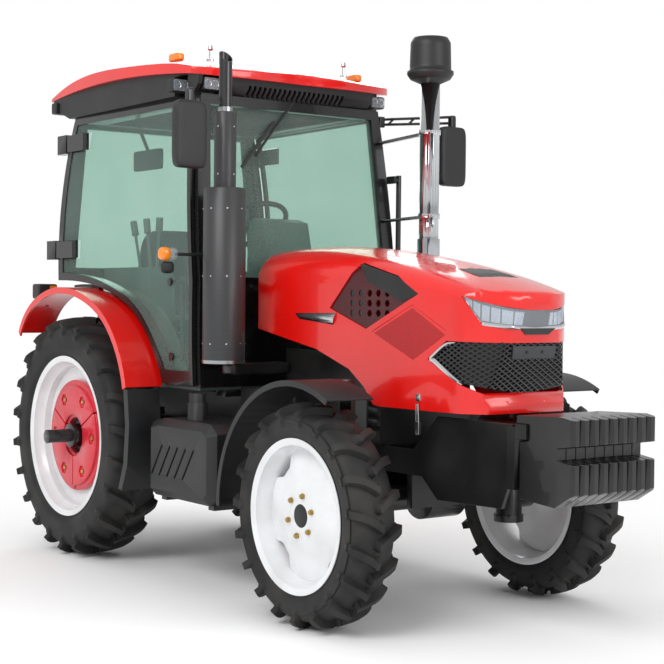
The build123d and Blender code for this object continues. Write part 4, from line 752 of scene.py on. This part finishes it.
# roof markers, turn lamps on stays by the front posts with a small mirror below, and tail lamps
amber, clear, red, stays = [], [], [], []
for side in (1, -1):
    top = at(818, side * 556, 2588)
    amber.append(block(top - (0.050, 0.024, 0.010), top + (0.050, 0.024, 0.034), 0.5))
    outer, inner = at(1163, side * 806, 1604), at(1163, side * 772, 1604)
    amber.append(block(outer - (0.031, 0.034, 0.032), outer + (0.031, 0.022, 0.032), 0.7))
    clear.append(block(inner - (0.029, 0.024, 0.030), inner + (0.029, 0.024, 0.030), 0.7))
    stays.append(block(at(1140, side * 790 - 34, 1512), at(1164, side * 790 + 34, 1568), 0.6))
    stays.append(rail(at(1163, side * 568, 1604), at(1163, side * 752, 1604), 0.008, 8))
    stays.append(block(at(1112, side * 576 - 7, 1582), at(1178, side * 576 + 7, 1626), 0.15))
    tail = at(-372, side * 710, 1428)
    stays.append(block(tail - (0.045, 0.058, 0.045), tail + (0.045, 0.058, 0.040), 0.2))
    stays.append(rail(at(-350, side * 710, 1340), tail, 0.014, 6, 12, (0, 1, 0)))
    red.append(block(tail + (-0.052, -0.050, -0.036), tail + (-0.044, 0.018, 0.034), 0.2))
    outboard = (0.020, 0.052) if side > 0 else (-0.052, -0.020)
    amber.append(block(tail + (-0.052, outboard[0], -0.036), tail + (-0.044, outboard[1], 0.034), 0.2))
    amber.append(block(tail + (0.040, 0.010, -0.030), tail + (0.047, 0.050, 0.030), 0.2))
joined("turnAndRoofLenses", amberLens, "tractor", swept=amber, replaces=("signal_lamps",))
joined("turnLampClear", lampLens, "tractor", swept=clear)
joined("tailLenses", redLens, "tractor", swept=red)
joined("lampStays", blackPlastic, "tractor", swept=stays)

# exhaust: punched guards round the silencer, rivets, bright collar and the slanted tail pipe
exhaust = {"guardRadius": 0.102, "upperRadius": 0.053, "pipeRadius": 0.032, "collarRadius": 0.036}
foot = at(*exhaustAt, 0)
g, u, c = exhaust["guardRadius"], exhaust["upperRadius"], exhaust["collarRadius"]
guard = [(0, 1.085), (g - 0.004, 1.085), (g, 1.089), (g, 1.914), (g - 0.004, 1.920), (0.090, 1.916), (0, 1.916)]
upperGuard = [(0, 1.912), (u, 1.912), (u, 2.276), (u - 0.003, 2.281), (0.044, 2.278), (0, 2.278)]
joined("exhaustGuards", guardSheet, "tractor",
       [lathe(guard, foot, (0, 0, 1), 96), lathe(upperGuard, foot, (0, 0, 1), 72)], replaces=("exhaust",))
bright = [lathe([(0, 1.086), (g + 0.002, 1.086), (g + 0.002, 1.102), (0, 1.102)], foot, (0, 0, 1), 96),
          lathe([(0, 2.276), (c, 2.276), (c, 2.304), (0, 2.304)], foot, (0, 0, 1), 48)]
rivetProfile = [(0, -0.001), (0.0055, -0.001), (0.005, 0.0015), (0, 0.003)]
for z, radius, count in ((1180, g, 8), (1500, g, 8), (1820, g, 8), (1985, u, 4), (2210, u, 4)):
    for t in np.arange(count) * 2 * pi / count + 0.35:
        spoke = np.array([cos(t), sin(t), 0])
        bright.append(lathe(rivetProfile, at(*exhaustAt, z) + spoke * radius, spoke, 12))
joined("exhaustRivets", brightSteel, "tractor", bright)
turns = np.linspace(0, 2 * pi, 64, endpoint=False)


def pipeRing(radius, z, slant=0.0):
    # round of the tail pipe at a height, falling ahead by slant times the distance ahead
    return np.stack([radius * np.cos(turns), radius * np.sin(turns), z - slant * radius * np.cos(turns)], -1)


p = exhaust["pipeRadius"]
pipe = [pipeRing(0.0, 2.30), pipeRing(p, 2.30), pipeRing(p, 2.45), pipeRing(p, 2.545, 0.92),
        pipeRing(p - 0.004, 2.545, 0.92), pipeRing(p - 0.004, 2.42), pipeRing(0.0, 2.42)]
joined("exhaustPipe", blackEnamel, "tractor", swept=[foot + np.stack(pipe)])
elbow = block(at(exhaustAt[0] - 25, -557, 1030), at(exhaustAt[0] + 65, -205, 1090), 0.3)
joined("exhaustElbow", castBlack, "tractor", swept=[elbow])

# mirrors: rounded heads with glass behind, each on a slotted arm; the entry rail stands by the left pillar
heads, mirrorGlass, arms = [], [], []
armX, armY = [1085, 1240, 1362], [606, 712, 792]
for side in (1, -1):
    heads.append(block(at(1335, side * 797 - 83, 1996), at(1389, side * 797 + 83, 2308), 0.28, 10))
    mirrorGlass.append(block(at(1331, side * 797 - 70, 2014), at(1337, side * 797 + 70, 2290), 0.25))
    line = smoothLine([(1034, side * 584)] + [(x, side * y) for x, y in zip(armX, armY)], 20)
    for z, drop in ((2360, 0), (2334, 6)):
        arms.append(tube(at(line[:, 0], line[:, 1], z - drop * np.linspace(0, 1, 20)), ring(0.0075, 8)))
    for x in (1085, 1180, 1275):
        y = side * np.interp(x, armX, armY)
        arms.append(rail(at(x - 14, y - side * 9, 2332), at(x + 14, y + side * 9, 2360), 0.006, 5, 8))
    arms.append(block(at(1346, side * 797 - 17, 2290), at(1378, side * 797 + 17, 2368), 0.35))
    arms.append(block(at(1034, side * 572 - 16, 2316), at(1058, side * 572 + 16, 2374), 0.2))
for z in (1500, 2030):
    arms.append(block(at(1104, 564, z - 20), at(1176, 577, z + 20), 0.2))
    arms.append(rail(at(1150, 570, z), at(1150, 612, z), 0.010, 5, 10))
arms.append(rail(at(1150, 612, 1475), at(1150, 612, 2055), 0.014, 12, 16, (0, 1, 0)))
joined("mirrorHeads", blackPlastic, "tractor", swept=heads, replaces=("mirrors",))
joined("mirrorGlass", chromePlate, "tractor", swept=mirrorGlass)
joined("mirrorArms", blackEnamel, "tractor", swept=arms)

# bright bases for beacons on the roof, and the screen on the right rear post inside the cab
postProfile = [(0, 0), (0.020, 0), (0.020, 0.010), (0.008, 0.014), (0.007, 0.052), (0.014, 0.060),
               (0.010, 0.078), (0, 0.080)]
joined("beaconBases", chromePlate, "tractor",
       [lathe(postProfile, at(913, side * 415, 2584), (0, 0, 1), 24) for side in (1, -1)])
screen = [block(at(30, -372, 2090), at(330, -350, 2200), 0.15),
          rail(at(180, -362, 2195), at(120, -420, 2400), 0.010, 6, 10, (0, 1, 0))]
joined("cabScreen", blackPlastic, "tractor", swept=screen)

# wiper: arm from the head of the windscreen down to its blade
wiperArm = smoothLine(np.array([at(1040, 11, 2412), at(1072, -182, 2192), at(1084, -250, 2110)]), 14)
blade = np.linspace(at(1062, -128, 2290), at(1090, -338, 2046), 12)
bladeSection = [(-0.005, -0.008), (0.005, -0.008), (0.003, 0.008), (-0.003, 0.008)]
joined("wiper", blackPlastic, "tractor", swept=[tube(wiperArm, ring(0.007, 8)), tube(blade, bladeSection)])


def cushion(low, high, pull):
    # pad: a superellipsoid whose top is crowned, less 'pull' toward its edges, with two sewn channels that
    # follow a bell curve across it
    low, high = np.asarray(low, float), np.asarray(high, float)
    u = np.linspace(-pi / 2, pi / 2, 40)[:, None]
    v = np.linspace(-pi, pi, 80, endpoint=False)[None, :]
    level = signedPower(np.cos(u), 0.5)
    unit = np.stack([level * signedPower(np.cos(v), 0.35), level * signedPower(np.sin(v), 0.35),
                     signedPower(np.sin(u), 0.6) + 0 * v], -1)
    unit[..., 2] *= 1 - pull * (unit[..., 0] ** 2 + unit[..., 1] ** 2) / 2
    channel = np.exp(-((np.abs(unit[..., 1]) - 0.45) / 0.05) ** 2)
    unit[..., 2] -= 0.10 * channel * (unit[..., 2] > 0.2)
    return (low + high) / 2 + unit * (high - low) / 2


# seat: base and leaning back on a moulded pedestal
seat = {"lean": 75, "backPlace": (-168, 0, 1538), "fill": 0.8}
seatBase = cushion(at(-128, -235, 1198), at(384, 235, 1302), 0.25)
base = joined("seatBase", seatCloth, "tractor", swept=[seatBase], replaces=("seat",))
leanTurn = np.array(Matrix.Rotation(radians(-seat["lean"]), 3, "Y"))
seatBack = cushion((-0.250, -0.230, -0.040), (0.250, 0.230, 0.040), 0.2) @ leanTurn.T + at(*seat["backPlace"])
back = joined("seatBack", seatCloth, "tractor", swept=[seatBack])
joined("seatPedestal", blackPlastic, "tractor", swept=[block(at(-28, -158, 960), at(268, 158, 1205), 0.12)])
print("cab dressed")

# Stage: a white floor that fades to plain white with distance, a pale world and three soft lamps
studio = {"fadeFrom": 1.6, "fadeTo": 4.5, "sky": 0.75, "key": 330.0, "fill": 160.0, "rim": 120.0}
white = hexColour("#FFFFFF")
floorMesh = bpy.data.meshes.new("studioFloor")
floorMesh.from_pydata([(-60, -60, 0), (60, -60, 0), (60, 60, 0), (-60, 60, 0)], [], [(0, 1, 2, 3)])
floor = bpy.data.objects.new("studioFloor", floorMesh)
bpy.context.scene.collection.objects.link(floor)
material, tree, out, place = newMaterial("paleStudioFloor")
matte = addNode(tree, "ShaderNodeBsdfDiffuse", Color=white).outputs[0]
plain = addNode(tree, "ShaderNodeEmission", Color=white, Strength=1.0).outputs[0]
away = addNode(tree, "ShaderNodeVectorMath", {"operation": "LENGTH"}, i0=place).outputs["Value"]
fade = addNode(tree, "ShaderNodeMapRange", Value=away, From_Min=studio["fadeFrom"], From_Max=studio["fadeTo"])
floorMix = addNode(tree, "ShaderNodeMixShader", Fac=fade.outputs["Result"], i1=matte, i2=plain)
tree.links.new(floorMix.outputs[0], out.inputs["Surface"])
floorMesh.materials.append(material)

world = bpy.data.worlds.new("paleStudio")
bpy.context.scene.world = world
world.use_nodes = True
tree = world.node_tree
tree.nodes.clear()
path = addNode(tree, "ShaderNodeLightPath").outputs
seen = addNode(tree, "ShaderNodeMath", {"operation": "MAXIMUM"}, i0=path["Is Camera Ray"],
               i1=path["Is Transmission Ray"]).outputs[0]
soft = addNode(tree, "ShaderNodeBackground", Color=white, Strength=studio["sky"]).outputs[0]
behind = addNode(tree, "ShaderNodeBackground", Color=white, Strength=1.0).outputs[0]
sky = addNode(tree, "ShaderNodeMixShader", Fac=seen, i1=soft, i2=behind).outputs[0]
addNode(tree, "ShaderNodeOutputWorld", Surface=sky)


def softbox(name, place, aim, size, power):
    # rectangular area lamp turned to its aim
    lamp = bpy.data.lights.new(name, "AREA")
    lamp.shape = "RECTANGLE"
    lamp.size, lamp.size_y = size
    lamp.energy = power
    box = bpy.data.objects.new(name, lamp)
    bpy.context.scene.collection.objects.link(box)
    box.location = place
    box.rotation_euler = (Vector(aim) - Vector(place)).to_track_quat("-Z", "Y").to_euler()


softbox("keySoftbox", (3.0, -6.5, 6.0), (0, 0, 1.2), (5.0, 3.0), studio["key"])
softbox("frontSoftbox", (8.0, 1.5, 4.0), (0.5, 0, 1.2), (4.0, 3.0), studio["fill"])
softbox("backSoftbox", (-6.0, 4.0, 5.0), (0, 0, 1.4), (4.0, 3.0), studio["rim"])

# Camera: place in metres, lens in mm on a 36 mm sensor, and its turn, tilt and roll in degrees
view = {"place": (6.044, -4.2225, 1.3935), "lens": 78.78, "yaw": 143.912, "pitch": -1.2695, "roll": 0.538}
cameraData = bpy.data.cameras.new("camera")
cameraData.lens = view["lens"]
cameraData.sensor_width = 36.0
camera = bpy.data.objects.new("camera", cameraData)
bpy.context.scene.collection.objects.link(camera)
yaw, pitch, roll = (radians(view[key]) for key in ("yaw", "pitch", "roll"))
ahead = Vector((cos(yaw) * cos(pitch), sin(yaw) * cos(pitch), sin(pitch)))
right = ahead.cross(Vector((0, 0, 1))).normalized()
up = right.cross(ahead)
rolledRight = right * cos(roll) + up * sin(roll)
rolledUp = up * cos(roll) - right * sin(roll)
cameraTurn = Matrix((rolledRight, rolledUp, -ahead)).transposed().to_4x4()
camera.matrix_world = Matrix.Translation(view["place"]) @ cameraTurn
bpy.context.scene.camera = camera
bpy.context.scene.view_settings.view_transform = "Standard"
bpy.context.view_layer.update()
print("stage set")
